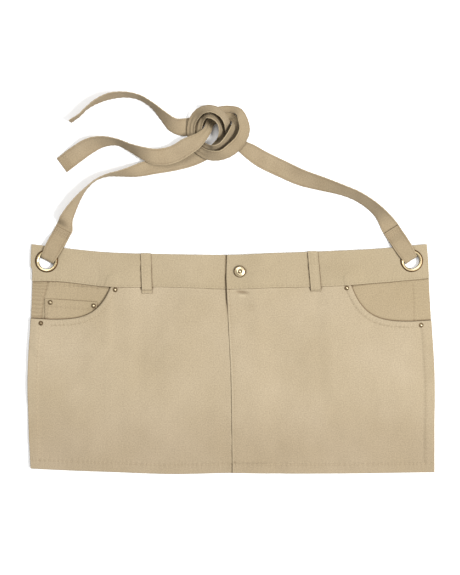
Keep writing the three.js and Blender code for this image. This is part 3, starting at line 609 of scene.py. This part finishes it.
def loop_side(side, edge):
    """The line along one edge of a belt loop, from its foot to its top."""
    share, lean = loops[side]
    x, upper = share * apron_width + edge * loop_width / 2, float(top_at(share * apron_width)) + loop_over_top
    return np.array([(x - lean, upper - loop_length), (x, upper)])


def lap_edge_shadow(x, y):
    """Painted shadow of the right half's edge on the left half, beside the upper part of the centre edge."""
    return -1.5 * smooth(y, 225, 262) * bell(x - centre_at(y) + 0.5, 1.5)


def loop_edge_shadows(x, y):
    """Painted shadow lines along both edges of each belt loop."""
    lines = [near_line(loop_side(side, edge), x, y)[0] for side in loops for edge in (-1, 1)]
    return -0.65 * bell(np.minimum.reduce(lines), 1.3)


def front_panel(side, layers):
    if side < 0:
        left, right = left_at, lambda y: centre_at(y) + panel_lap
    else:
        left, right = centre_at, right_at
    plan = between(left, right, hem_at, lambda x: seam_at(x) + seam_tuck)
    edge = pocket_edge(side)
    turned = offset_line(edge, -side * topstitch_inset)
    turned = turned[((turned[:, 0] - edge[-1, 0]) * side < -2) & (turned[:, 1] < seam_at(turned[:, 0]) - 1)]
    hem_x = np.linspace(-302, 20, 120) if side < 0 else np.linspace(2, 302, 120)
    hem_line = np.column_stack([hem_x, hem_at(hem_x) + hem_depth - stitch_inset])
    side_y = np.linspace(16, pocket_rise[side] - 12, 90)
    side_line = np.column_stack([outer_at[side](side_y) - side * (hem_depth - stitch_inset), side_y])
    seams = [(turned, 0.35, 0.2), (hem_line, 0.4, 0.26), (side_line, 0.4, 0.24)]
    folds = [((5, 273.6), (28, 270.6), -1.6, 2.0), ((9, 267.5), (23, 266.5), 0.7, 2.2)] if side > 0 else []
    if side > 0:
        edge_y = np.linspace(2, 288, 100)
        seams.append((np.column_stack([centre_at(edge_y) + edge_stitch, edge_y]), 0.2, 0.15))
    under = lay_over(layers)

    def thick(x, y):
        from_side = (outer_at[side](y) - x) * side
        doubled = np.maximum(1 - soft_step(from_side, hem_depth), 1 - soft_step(y - hem_at(x), hem_depth))
        folded = 1 - soft_step(near_line(edge, x, y)[0], 9)
        return cloth * (1 + np.maximum(doubled, 0.7 * folded))

    def gathers(x, y):
        away, along = near_line(edge, x, y)
        return 0.16 * np.sin(along * 1.45 + np.sin(along / 6)) * bell(away - 4.5, 3)

    def face(x, y):
        return (relief(seams, x, y) + ripples(x, y, 11, 0.3, 31 + side) + ripples(x, y, 34, 0.9, 35 + side)
                + gathers(x, y) + creases(folds, x, y))

    # Painted shade and highlight: darker in seam grooves and the hollows of puckers and creases, beside the loops and
    # the lap, lighter on their crests, in a line under the band's edge and along the lower centre edge, and darker
    # towards the hem
    def tone(x, y):
        band_edge_highlight = bell(y - seam_at(x) + 0.3, 1.5)
        lap_edge_lightening = (1 - smooth(y, 225, 262)) * bell(x - centre_at(y), 2.0)
        near_hem = 1 - smooth(y, 25, 135)
        return (0.15 * relief(seams, x, y) + 0.5 * gathers(x, y) + 0.6 * creases(folds, x, y) + loop_edge_shadows(x, y)
                + (lap_edge_shadow(x, y) if side < 0 else 0) + 0.8 * band_edge_highlight + 0.2 * lap_edge_lightening - 0.3 * near_hem)
    return {"plan": plan, "under": under, "outline": outline_of(plan), "cut": pocket_cut(side), "thick": thick,
            "top": lambda x, y: under(x, y) + thick(x, y), "face": face, "tone": tone, "seams": seams}


def waistband(side, layers):
    if side < 0:
        left, right = left_at, lambda y: centre_at(y) + band_lap
    else:
        left, right = centre_at, right_at
    plan = between(left, right, seam_at, top_at)
    line_x = np.linspace(-299, 26, 120) if side < 0 else np.linspace(-4, 295, 120)
    seams = [(np.column_stack([line_x, seam_at(line_x) + band_stitch]), 0.3, 0.14)]
    under = lay_over(layers, near=8)
    # Painted shade and highlight on the band: darker in the seam groove, beside the loops and the lap, lighter along
    # its lower edge
    return {"plan": plan, "under": under, "outline": outline_of(plan), "seams": seams,
            "top": lambda x, y: under(x, y) + band_thickness,
            "tone": lambda x, y: (0.15 * relief(seams, x, y) + loop_edge_shadows(x, y)
                                  + (lap_edge_shadow(x, y) if side < 0 else 0) + 0.35 * bell(y - seam_at(x), 1.2)),
            "face": lambda x, y: relief(seams, x, y) + ripples(x, y, 16, 0.4, 41 + side) + ripples(x, y, 45, 0.9, 45)}


for side, word in words.items():
    print("the", word, "pocket opening ends", round(float(pocket_edge(side)[-1, 1])), "mm up")

# %% [markdown]
# Eyelets set the order
# Each strap end runs behind the waistband to its eyelet, so strap and washer lift the band there.
# Their places and headings are worked out first, then the panels and bands are laid in order.

# %%
strap_width, strap_thickness, strap_slack = 26, 1.5, 1
eyelet_hole, eyelet_rim, eyelet_washer, hole_in_band = 23.4, 34, 32, 26
eyelet_inset, eyelet_drop, washer_thickness, flange_thickness = 23, 22.8, 0.8, 1.4
strap_in_eyelet = 21.3


def eyelet_place(x, heading):
    y = float(top_at(x)) - eyelet_drop
    angle = math.radians(heading)
    along, aside = np.array([math.cos(angle), math.sin(angle)]), np.array([math.sin(angle), -math.cos(angle)])
    clear = (eyelet_drop + strap_width / 2 * abs(along[0])) / along[1] + 1
    half, far = strap_width / 2, clear + 12
    spot = np.array([x, y])
    corners = np.array([spot - half * aside, spot + half * aside, spot + far * along + half * aside,
                        spot + far * along - half * aside])
    ring = circle(*spot, eyelet_washer / 2, 24)
    washer_top = strap_thickness + gap + washer_thickness
    return {"x": x, "y": y, "along": along, "aside": aside, "clear": clear, "washer_top": washer_top,
            "strap": {"outline": corners, "top": lambda x, y: strap_thickness + 0 * x},
            "washer": {"outline": ring, "top": lambda x, y: washer_top + 0 * x}}


eyes = {
    -1: eyelet_place(float(left_at(apron_height)) + eyelet_inset, 62.5),
    1: eyelet_place(float(right_at(apron_height)) - eyelet_inset, 122.5),
}
panels, bands, panel_height = {}, {}, 290
panels[-1] = front_panel(-1, [backs[-1], coin])
bands[-1] = waistband(-1, [backs[-1], panels[-1], eyes[-1]["strap"], eyes[-1]["washer"]])
panels[1] = front_panel(1, [backs[1], panels[-1], bands[-1]])
bands[1] = waistband(1, [backs[1], panels[-1], bands[-1], panels[1], eyes[1]["strap"], eyes[1]["washer"]])

panel_pieces, band_pieces = {}, {}
for side, word in words.items():
    panel = panels[side]
    width = apron_width / 2 + (panel_lap if side < 0 else 0)
    bm = grid(marks(width, 1.5), marks(panel_height, 1.5))
    spread(bm, panel["plan"])
    cut_away(bm, panel["cut"])
    piece = thicken(bm, laid(panel["under"], panel["thick"], panel["face"]), "panel_" + word, panel_twill,
                    tone=panel["tone"])
    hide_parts("front_panel_" + word)
    panel_pieces[side] = piece

    band = bands[side]
    bm = grid(marks(apron_width / 2, 1.2), marks(apron_height * 0.16, 1.2))
    spread(bm, band["plan"])
    eye = eyes[side]
    cut_away(bm, circle(eye["x"], eye["y"], hole_in_band / 2, 48), 1.4)
    piece = thicken(bm, laid(band["under"], lambda x, y: band_thickness + 0 * x, band["face"]), "band_" + word,
                    band_twill, warp_along_x=True, tone=band["tone"])
    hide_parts("waistband_" + word)
    band_pieces[side] = piece
print("panels and bands:", [len(p.data.polygons) for p in [*panel_pieces.values(), *band_pieces.values()]])

# %% [markdown]
# Belt loops
# A belt loop is a narrow folded strip, tacked at the top of the band and just below it, and slack between.

# %%
for side, (share, lean) in loops.items():
    word = words[side]
    x0 = share * apron_width
    upper = float(top_at(x0)) + loop_over_top
    rest = lay_over([panels[side], bands[side]], 3.5, 3.5)

    def loop_plan(u, v):
        return x0 + (v - 1) * lean + (u - 0.5) * loop_width, upper - loop_length * (1 - v) + 0 * u

    def loop_under(x, y):
        share_up = np.clip((y - upper + loop_length) / loop_length, 0, 1)
        slack = loop_arch * np.sin(math.pi * share_up) + 0.5 * np.sin(share_up * 23) * smooth(share_up, 0.2, 0.5)
        return rest(x, y) + np.maximum(slack, 0)

    def loop_face(x, y):
        tacks = [(line_between((x0 - lean - 8, upper - at), (x0 - lean + 8, upper - at)), 0.5, 0.1)
                 for at in (14, 56)]
        sides = [(line_between((x0 - lean + s * 5.2, upper - loop_length), (x0 + s * 5.2, upper)), 0.35, 0.12)
                 for s in (-1, 1)]
        return relief(tacks + sides, x, y)
    bm = grid(marks(loop_width, 0.8), marks(loop_length, 0.9))
    spread(bm, loop_plan)
    piece = thicken(bm, laid(loop_under, lambda x, y: loop_thickness + 0 * x, loop_face), "loop_" + word, band_twill)
    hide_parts("belt_loop_" + word)
print("belt loops:", len(loops))

# %% [markdown]
# Straps and their knot
# A strap follows a table of places. Roll lifts its right edge, lift counts the layers under it, and fold is the
# share of its width that stays spread. A cord tool would give a round section, so the flat strap is laid row by row.

# %%
# Columns of a run or tail: across as a share of the width, rise as a share of the strap rise, roll, lift, fold
left_run = [
    (-0.404, 0.215, -46, 0, 1), (-0.393, 0.269, -60, 0, 1), (-0.373, 0.347, -79, 0, 1),
    (-0.356, 0.398, -90, 0, 1), (-0.332, 0.45, -93, 0, 1), (-0.303, 0.479, -87, 0, 1),
    (-0.274, 0.489, -76, 0, 1), (-0.238, 0.505, -46, 0, 0.88), (-0.217, 0.519, -24, 0, 0.86),
    (-0.192, 0.533, -12, 0, 0.86), (-0.146, 0.557, -3, 0, 0.95), (-0.101, 0.583, 0, 0, 0.92),
]
lower_tail = [
    (-0.107, 0.654, 4, 5.1, 1), (-0.135, 0.613, 6, 3.9, 1), (-0.162, 0.593, 13, 3.4, 1),
    (-0.193, 0.592, 33, 3.7, 1), (-0.22, 0.615, 54, 3.8, 1), (-0.247, 0.644, 68, 2.2, 1),
    (-0.279, 0.679, 73, 0.3, 1), (-0.314, 0.683, 57, 0, 1), (-0.346, 0.661, 33, 0, 1),
    (-0.381, 0.609, 13, 0, 1), (-0.417, 0.543, 0, 0, 1),
]
right_run = [
    (0.365, 0.251, 52, 0, 1), (0.338, 0.31, 59, 0, 1), (0.306, 0.358, 60, 0, 1), (0.272, 0.391, 57, 0, 1),
    (0.225, 0.427, 42, 0, 1), (0.174, 0.466, 24, 0, 1), (0.125, 0.522, 3, 0, 1), (0.076, 0.581, 0, 0, 1),
]
upper_tail = [
    (-0.094, 0.791, 0, 0, 0.88), (-0.118, 0.774, 9, 0, 1), (-0.143, 0.786, 40, 0, 1), (-0.166, 0.838, 62, 0, 1),
    (-0.193, 0.902, 77, 0, 1), (-0.223, 0.948, 80, 0, 1), (-0.257, 0.966, 79, 0, 1), (-0.297, 0.957, 77, 0, 1),
    (-0.331, 0.923, 84, 0, 1), (-0.355, 0.882, 91, 0, 1), (-0.372, 0.841, 91, 0, 1), (-0.395, 0.803, 88, 0, 1),
]

# Columns in the knot: east and north in strap widths from its middle, roll, lift, fold
knot_middle = (-0.0324, 0.745)
left_knot = [
    (-0.87, -1.33, 0, 0, 0.72), (-0.35, -1.09, 0, 0, 0.6), (0.03, -0.73, -12, 0, 0.6),
    (0.23, -0.35, -55, 0, 0.8), (0.25, 0.06, -68, 0.6, 1), (0.15, 0.46, -66, 2.8, 1),
    (-0.19, 0.81, -62, 4.0, 1), (-0.62, 0.94, -56, 4.4, 0.95), (-0.98, 0.72, -36, 3.4, 0.62),
    (-1.13, 0.2, -33, 1.5, 0.52), (-1.13, -0.38, -33, 1.2, 0.52), (-0.89, -0.81, -34, 1.2, 0.55),
    (-0.57, -1.03, -46, 1.2, 0.75), (-0.22, -1.1, -60, 1.2, 1), (0.18, -0.94, -64, 1.2, 1),
    (0.64, -0.49, -58, 1.2, 1), (0.97, 0.08, -58, 1.2, 1), (1.05, 0.49, -42, 1.2, 0.7),
    (0.84, 0.8, -10, 1.2, 0.46), (0.38, 0.85, 0, 1.2, 0.5), (-0.14, 0.72, 0, 1.2, 0.5),
    (-0.46, 0.48, 0, 1.7, 0.5), (-0.58, 0.11, 0, 4.3, 0.48), (-0.91, -0.31, 2, 5.7, 0.65),
    (-1.31, -0.63, 4, 5.6, 0.88),
]
right_knot = [
    (1.85, -1.11, 0, 0, 0.9), (1.27, -0.72, 0, 0, 0.66), (0.84, -0.29, -6, 0, 0.58), (0.61, 0.08, -60, 0, 0.8),
    (0.51, 0.49, -68, 3.3, 1), (0.26, 0.91, -64, 3.8, 1), (-0.28, 1.23, -60, 4.5, 1),
    (-0.82, 1.2, -56, 4.6, 0.9), (-1.26, 0.88, -38, 3.8, 0.65), (-1.52, 0.36, -33, 2.0, 0.52),
    (-1.52, -0.26, -33, 1.3, 0.52), (-1.29, -0.84, -31, 1.2, 0.54), (-0.89, -1.19, -42, 1.2, 0.65),
    (-0.4, -1.39, -58, 1.2, 0.92), (0.18, -1.38, -62, 1.2, 1), (0.75, -1.06, -52, 1.2, 1),
    (1.29, -0.52, -52, 1.2, 1), (1.53, 0.11, -53, 1.2, 1), (1.42, 0.69, -53, 1.2, 0.95),
    (1.16, 1.17, -32, 1.0, 0.54), (0.68, 1.31, 0, 0.3, 0.42), (0.22, 1.29, 0, 0.1, 0.42),
    (-0.26, 1.14, 0, 0, 0.5), (-0.84, 0.8, 0, 0, 0.65),
]
strap_tables = {-1: (left_run, left_knot, lower_tail), 1: (right_run, right_knot, upper_tail)}
print("rows of the straps:", [sum(map(len, tables)) for tables in strap_tables.values()])

# %% [markdown]
# From the tables to rows
# Each row is a place in space with the half width of the strap across it. The first rows fold the strap's end
# through its eyelet, and the rest come from the tables.

# %%

def knot_place(east, north):
    return (knot_middle[0] * apron_width + east * strap_width,
            float(top_at(0)) + knot_middle[1] * strap_rise + north * strap_width)


def run_place(across, rise):
    return across * apron_width, float(top_at(0)) + rise * strap_rise


def round_rim(layer, x, y, diameter):
    """Lowest level at which a round piece clears the cloth under it."""
    rim = layer["top"](*circle(x, y, diameter / 2, 8).T)
    return float(max(rim.max(), layer["top"](np.array([x]), np.array([y]))[0])) + gap


for side, eye in eyes.items():
    eye["seat"] = round_rim(bands[side], eye["x"], eye["y"], eyelet_rim)
    eye["front"] = eye["seat"] + flange_thickness


def eyelet_rows(side):
    """Folded end in front of the band, the turn through the hole, then the run behind the band."""
    eye = eyes[side]
    half = strap_thickness / 2
    high = eye["front"] + gap + half
    over_band = float(bands[side]["top"](np.array([eye["x"]]), np.array([eye["y"]]))[0]) + gap + half
    on_strap = strap_thickness + gap * 1.3 + half
    turn = (high - half) / 2
    bend_at = turn + eyelet_hole * 0.05
    rim, past, pinched = eyelet_rim / 2, eye["clear"], strap_in_eyelet / strap_width

    def row(s, z, fold):
        edge = eye["aside"] * strap_width * fold / 2
        return eye["x"] + s * eye["along"][0], eye["y"] + s * eye["along"][1], z, edge[0], edge[1], 0
    bend = [row(bend_at - turn * math.sin(a), (high + half) / 2 + turn * math.cos(a), pinched)
            for a in np.radians([15, 45, 75, 90, 105, 135, 165])]
    return [
        row(past + 20, on_strap, 1), row(past + 15, on_strap, 1), row(past + 9, on_strap + 0.2, 1),
        row(past + 4, (on_strap + over_band) / 2 + 0.6, 1), row(past, over_band + 0.5, 1),
        row(rim + 3, high - 0.2, 0.97), row(rim, high, 0.95), row(rim / 2, high, 0.88), row(bend_at, high, pinched),
        *bend, row(bend_at, half, pinched), row(rim / 2, half, 0.88), row(rim, half, 0.96), row(past, half, 1),
        row(past + 15, half, 1), row(past + 24, half, 1),
    ]


def free_rows(table, before):
    """Rows of the free strap, with the edge of each from its roll and the way it runs."""
    places = [place(a, b) for place, (a, b, *_) in table]
    rows = []
    for i, (_, (_, _, roll, lift, fold)) in enumerate(table):
        x0, y0 = places[i - 1] if i else before[:2]
        x1, y1 = places[min(i + 1, len(places) - 1)]
        length = math.hypot(x1 - x0, y1 - y0)
        half = strap_width * fold / 2
        level, rise = math.cos(math.radians(roll)) * half, math.sin(math.radians(roll)) * half
        z = lift * (strap_thickness + strap_slack) + abs(rise) + math.cos(math.radians(roll)) * strap_thickness / 2
        rows.append((*places[i], z, (y1 - y0) / length * level, -(x1 - x0) / length * level, rise))
    return rows


def curve(points, t):
    """A smooth curve through points, at shares from 0 to 1."""
    points = np.asarray(points, float)
    padded = np.vstack([2 * points[0] - points[1], points, 2 * points[-1] - points[-2]])
    s = np.clip(t, 0, 1) * (len(points) - 1)
    i = np.minimum(s.astype(int), len(points) - 2)
    f = (s - i)[:, None]
    p0, p1, p2, p3 = (padded[i + k] for k in range(4))
    d0, d1, d2 = (np.sqrt(np.linalg.norm(b - a, axis=1, keepdims=True)) for a, b in ((p0, p1), (p1, p2), (p2, p3)))
    m1 = ((p1 - p0) / d0 - (p2 - p0) / (d0 + d1) + (p2 - p1) / d1) * d1
    m2 = ((p2 - p1) / d1 - (p3 - p1) / (d1 + d2) + (p3 - p2) / d2) * d1
    return p1 + m1 * f + (3 * (p2 - p1) - 2 * m1 - m2) * f ** 2 + (2 * (p1 - p2) + m1 + m2) * f ** 3


print("eyelets stand", {words[side]: round(eye["front"], 1) for side, eye in eyes.items()}, "mm high")

# %% [markdown]
# The straps as surfaces
# Both edges follow smooth curves through the rows. A little cup, pleats where the strap is bunched and puckers
# along its edges keep it from looking like tape.

# %%
def strap_surface(side, run, knot, tail):
    """A function from length along and share across to places, and the strap's length."""
    table = [(run_place, r) for r in run] + [(knot_place, r) for r in knot] + [(run_place, r) for r in tail]
    rows = eyelet_rows(side)
    rows = np.array(rows + free_rows(table, rows[-1]))
    middle, edge = rows[:, :3], rows[:, 3:]

    def edges(t):
        a, b = curve(middle - edge, t), curve(middle + edge, t)
        a[:, 2] = np.maximum(a[:, 2], strap_thickness / 2)
        b[:, 2] = np.maximum(b[:, 2], strap_thickness / 2)
        return a, b
    fine = np.linspace(0, 1, 6000)
    a, b = edges(fine)
    steps = np.linalg.norm(np.diff((a + b) / 2, axis=0), axis=1)
    run = np.concatenate([[0], np.cumsum(steps)])

    def place(s, w, side_up, rim):
        t = np.interp(s, run, fine)
        a, b = edges(t)
        a1, b1 = edges(t + 1e-4)
        a0, b0 = edges(t - 1e-4)
        across = b - a
        width = np.linalg.norm(across, axis=1)
        face = np.cross(across, a1 + b1 - a0 - b0)
        face /= np.linalg.norm(face, axis=1, keepdims=True)
        share = w / strap_width
        bunched = np.clip(1 - width / strap_width, 0, 0.6)
        cup = 0.5 * (1 - (2 * share - 1) ** 2) * np.sin(s / 31 + side)
        pleat = bunched * 0.9 * np.cos(2 * math.pi * share * 2)
        at_edge = np.exp(-((0.5 - np.abs(share - 0.5)) * 9) ** 2)
        pucker = 0.22 * np.sin(s / 1.3 + 2 * np.sin(s / 13) + 4 * share) * at_edge
        edge_in = np.where(rim, 0.3, 1)
        high = (side_up - 0.5) * strap_thickness * edge_in + cup + pleat + pucker
        spot = a + across * share[:, None] + face * high[:, None]
        spot[:, 2] = np.maximum(spot[:, 2], 0.02 + side_up * 0.5 * edge_in)
        return spot[:, 0], spot[:, 1], spot[:, 2]
    return place, run[-1]


def strap_tone_and_edge_highlight(length):
    """Painted highlight along the folded edges, a darker row of stitches inside each, and rows across the two ends.
    """
    rows = [3.5, 7, 10.5, length - 3.5, length - 8, length - 12]

    def tone(s, w):
        from_edge = np.minimum(w, strap_width - w)
        near_row = np.minimum.reduce([np.abs(s - row) for row in rows])
        return (0.35 * bell(from_edge, 0.9) - 0.35 * bell(from_edge - 2.4, 1.0)
                - 0.45 * bell(near_row, 1.1) - 0.3 * ripples(s, w, 24, 1, 51))
    return tone


strap_surfaces = {}
for side, word in words.items():
    place, length = strap_surface(side, *strap_tables[side])
    bm = grid(marks(length, 1.8) * length, marks(strap_width, 1.3) * strap_width)
    piece = thicken(bm, place, "tie_" + word, strap_twill, warp_along_x=True, tone=strap_tone_and_edge_highlight(length))
    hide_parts("strap_" + word)
    strap_surfaces[side] = place, length
    print(word, "strap:", round(length), "mm")

# %% [markdown]
# Brass
# Eyelets, button and rivets are turned pieces, so each is a profile spun about its own axis.
# A value on each point sets its polish: the high places are polished and the low ones brown, and on the eyelets it
# also carries painted shade at the flange's outer edge and a painted highlight near the hole.

# %%
def turned(name, profile, x, y, material, steps):
    """Spins a profile of radius, height and polish about an upright axis."""
    bm = bmesh.new()
    polish = bm.verts.layers.float.new("polish")
    ring = []
    for radius, z, shine in profile:
        vert = bm.verts.new((radius, 0, z))
        vert[polish] = shine
        ring.append(vert)
    closed = profile[0][0] > 0
    chain = ring + ring[:1] if closed else ring
    edges = [bm.edges.new(pair) for pair in zip(chain[:-1], chain[1:])]
    bmesh.ops.spin(bm, geom=ring + edges, cent=(0, 0, 0), axis=(0, 0, 1), angle=2 * math.pi, steps=steps,
                   use_merge=True, use_duplicate=False)
    bmesh.ops.remove_doubles(bm, verts=bm.verts, dist=1e-5)
    for v in bm.verts:
        v.co = Vector(((v.co.x + x + middle_x) * 0.001, (v.co.y + y + middle_y) * 0.001, v.co.z * 0.001))
    bmesh.ops.recalc_face_normals(bm, faces=bm.faces)
    piece = shown(bm, name, material)
    return piece


for side, word in words.items():
    eye = eyes[side]
    hole, rim, seat, front = eyelet_hole / 2, eyelet_rim / 2, eye["seat"], eye["front"]
    back = eye["washer_top"] - washer_thickness
    profile = [(hole, back, 0.3), (eyelet_washer / 2, back, 0.3), (eyelet_washer / 2, eye["washer_top"], 0.3),
               (hole + 1.1, eye["washer_top"], 0.2), (hole + 1.1, seat, 0.1), (rim, seat, 0)]
    # Painted shade and highlight: the flange's polish is lowest at its outer edge, patina with painted shade where it
    # meets the band, and peaks in a narrow band of polish and painted highlight towards the hole
    turns = np.linspace(0, math.pi, 14)[1:-1]
    middle, half = (rim + hole) / 2, (rim - hole) / 2
    for a in turns:
        profile.append((middle + half * math.cos(a), seat + flange_thickness * math.sin(a),
                        float(smooth(math.sin(a) - 0.5 * math.cos(a), 0.72, 1.12))))
    profile.append((hole, seat, 0.4))
    piece = turned("ring_" + word, profile, eye["x"], eye["y"], eyelet_brass, 72)
    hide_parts("eyelet_" + word)

button_diameter, button_inset, button_drop = 17.5, 19.5, 25.5
button_x = float(centre_at(apron_height)) + button_inset
button_y = float(top_at(button_x)) - button_drop
seat = round_rim(bands[1], button_x, button_y, button_diameter)
foot = float(bands[-1]["under"](np.array([button_x]), np.array([button_y]))[0])
radius = button_diameter / 2
profile = [
    (0, foot, 0), (2, foot, 0), (2, seat, 0), (radius - 0.4, seat, 0), (radius, seat + 0.5, 0.1),
    (radius - 0.15, seat + 1.1, 0), (radius - 0.6, seat + 1.5, 0.15), (radius - 1.2, seat + 1.45, 0.1),
    (radius - 1.6, seat + 1.3, 0.5), (radius - 2.4, seat + 1.6, 1), (4.4, seat + 2.1, 1), (3.4, seat + 2.2, 0.9),
    (3.0, seat + 1.9, 0.1), (2.5, seat + 1.6, 0), (2.0, seat + 1.7, 0.1), (1.5, seat + 2.2, 0.8),
    (0.9, seat + 2.5, 1), (0, seat + 2.6, 1),
]
piece = turned("button", profile, button_x, button_y, rivet_brass, 48)
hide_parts("tack_button")

rivet_diameter = 7.2


def rivet_places():
    """Columns: name, x, y, top layer."""
    places = []
    for side, word in words.items():
        edge, panel = pocket_edge(side), panels[side]
        x = edge[0, 0] - side * rivet_diameter * 0.55
        places.append((f"rivet_{word}_inner", x, float(seam_at(x)) - rivet_diameter * 0.56, panel))
        places.append((f"rivet_{word}_outer", edge[-1, 0] - side * hem_depth, edge[-1, 1] - rivet_diameter, panel))
    y = coin_top - rivet_diameter * 0.8
    places.append(("rivet_coin_outer", coin_start + rivet_diameter * 1.1, y, coin))
    places.append(("rivet_coin_inner", coin_start + coin_width - rivet_diameter * 0.75, y - coin_slant, coin))
    return places


for name, x, y, layer in rivet_places():
    shine = 0.35 if name == "rivet_left_outer" else 1
    seat = round_rim(layer, x, y, rivet_diameter)
    foot = float(wave_at(x, y))
    r = rivet_diameter / 2
    profile = [
        (0, foot, 0), (1.2, foot, 0), (1.2, seat, 0), (r - 0.2, seat, 0), (r, seat + 0.25, 0.1),
        (r - 0.25, seat + 0.6, 0.3 * shine), (r - 0.7, seat + 0.65, 0.15), (r - 1.2, seat + 0.4, 0),
        (r - 1.7, seat + 0.5, 0), (r - 2.1, seat + 1.0, 0.8 * shine), (0.8, seat + 1.25, shine),
        (0, seat + 1.3, shine),
    ]
    piece = turned(name.replace("rivet", "stud"), profile, x, y, rivet_brass, 32)
    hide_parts(name)

# %% [markdown]
# Threads
# A row of stitches is one curve with many short splines, turned into a mesh.

# %%
def sew(name, rows, length=2.9, gap_between=0.7, thickness=0.3):
    """Threads along rows of places in millimetres, each dipping in at both ends."""
    data = bpy.data.curves.new(name, "CURVE")
    data.dimensions = "3D"
    data.bevel_depth = thickness * 0.001
    data.bevel_resolution = 1
    data.use_fill_caps = True
    for row in rows:
        row = np.asarray(row)
        run = np.concatenate([[0], np.cumsum(np.linalg.norm(np.diff(row, axis=0), axis=1))])
        for start in np.arange(0.4, run[-1] - length, length + gap_between):
            at = start + length * np.array([0, 0.2, 0.5, 0.8, 1])
            spots = np.column_stack([np.interp(at, run, row[:, k]) for k in range(3)])
            spots[:, 2] += [-0.2, 0.12, 0.18, 0.12, -0.2]
            spline = data.splines.new("POLY")
            spline.points.add(4)
            for point, co, radius in zip(spline.points, in_frame(*spots.T), (0.5, 0.95, 1, 0.95, 0.5)):
                point.co = (*co, 1)
                point.radius = radius
    piece = new_object(name, data)
    with bpy.context.temp_override(active_object=piece, selected_editable_objects=[piece], selected_objects=[piece]):
        bpy.ops.object.convert(target="MESH")
    piece.data.materials.append(thread)
    piece.data.shade_smooth()
    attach(piece, "root")
    return piece


def on_cloth(layer, line):
    x, y = np.asarray(line).T
    return np.column_stack([x, y, layer["top"](x, y) + layer["face"](x, y)])


for side, word in words.items():
    sew("threads_panel_" + word, [on_cloth(panels[side], line) for line, _, _ in panels[side]["seams"]])
sew("threads_bands", [on_cloth(bands[s], line) for s in (-1, 1) for line, _, _ in bands[s]["seams"]])
sew("threads_coin", [on_cloth(coin, line) for line in (coin_hem, coin_side)])
sew("threads_facing", [on_cloth(backs[-1], second_row)])

bartack = [line_between((26.3, y), (35.3, y + 0.6), 12) for y in (251.8, 249.2, 246.6, 244.4)]
buttonhole = [line_between((button_x + 8.9, y), (button_x + 11.2, y), 4)
              for y in np.arange(-3.6, 3.7, 1.2) + button_y]
sew("threads_bartack", [on_cloth(panels[1], line) for line in bartack], length=2, gap_between=0.1, thickness=0.22)
sew("threads_buttonhole", [on_cloth(bands[1], line) for line in buttonhole], length=1.7, gap_between=1)


def on_strap(side, s, w, face):
    """Places on one face of a strap, for a row of threads."""
    place, _ = strap_surfaces[side]
    s, w = np.broadcast_arrays(np.asarray(s, float), np.asarray(w, float))
    return np.column_stack(place(s, w, face, np.zeros(len(s), bool)))


strap_rows = []
for side, (_, length) in strap_surfaces.items():
    across = np.linspace(1.5, strap_width - 1.5, 20)
    strap_rows += [on_strap(side, s, across, 0) for s in (3.5, 7, 10.5)]
    strap_rows += [on_strap(side, length - s, across, 1) for s in (3.5, 8, 12)]
sew("threads_straps", strap_rows)

# %% [markdown]
# Floor, light and camera
# A plain pale floor and soft light from above and the right keep the shading gentle; the thin dark contact lines come
# partly from the light and partly from shade painted into the cloth.
# The camera looks straight down with a long lens, as the apron is seen.

# %%
floor_data = bpy.data.meshes.new("floor")
bm = bmesh.new()
bmesh.ops.create_grid(bm, x_segments=1, y_segments=1, size=25)
bm.to_mesh(floor_data)
bm.free()
floor = new_object("floor", floor_data)
floor.location.z = -0.0005
pale = bpy.data.materials.new("pale floor")
pale.use_nodes = True
matt = pale.node_tree.nodes["Principled BSDF"].inputs
matt["Base Color"].default_value = (0.9, 0.9, 0.9, 1)
matt["Roughness"].default_value = 0.9
floor_data.materials.append(pale)


def area_light(name, place, size, power):
    data = bpy.data.lights.new(name, "AREA")
    data.shape = "DISK"
    data.size = size
    data.energy = power
    light = new_object(name, data)
    light.location = place
    light.rotation_euler = (Vector((0, 0, 0)) - Vector(place)).to_track_quat("-Z", "Y").to_euler()


area_light("key", (2.3, -0.6, 3.3), 1.2, 205)
area_light("top", (-0.5, 1.6, 3.0), 2.2, 62)
world = bpy.data.worlds.new("studio")
world.use_nodes = True
sky = world.node_tree.nodes["Background"].inputs
sky["Color"].default_value = (1, 1, 1, 1)
sky["Strength"].default_value = 0.62
bpy.context.scene.world = world
bpy.context.scene.view_settings.view_transform = "Standard"

camera_data = bpy.data.cameras.new("camera")
camera_data.lens = 90
camera_data.sensor_width = 36
camera = new_object("camera", camera_data)
view_height = 0.8625
camera.location = (-0.0018, -0.0059, view_height * camera_data.lens / camera_data.sensor_width)
bpy.context.scene.camera = camera
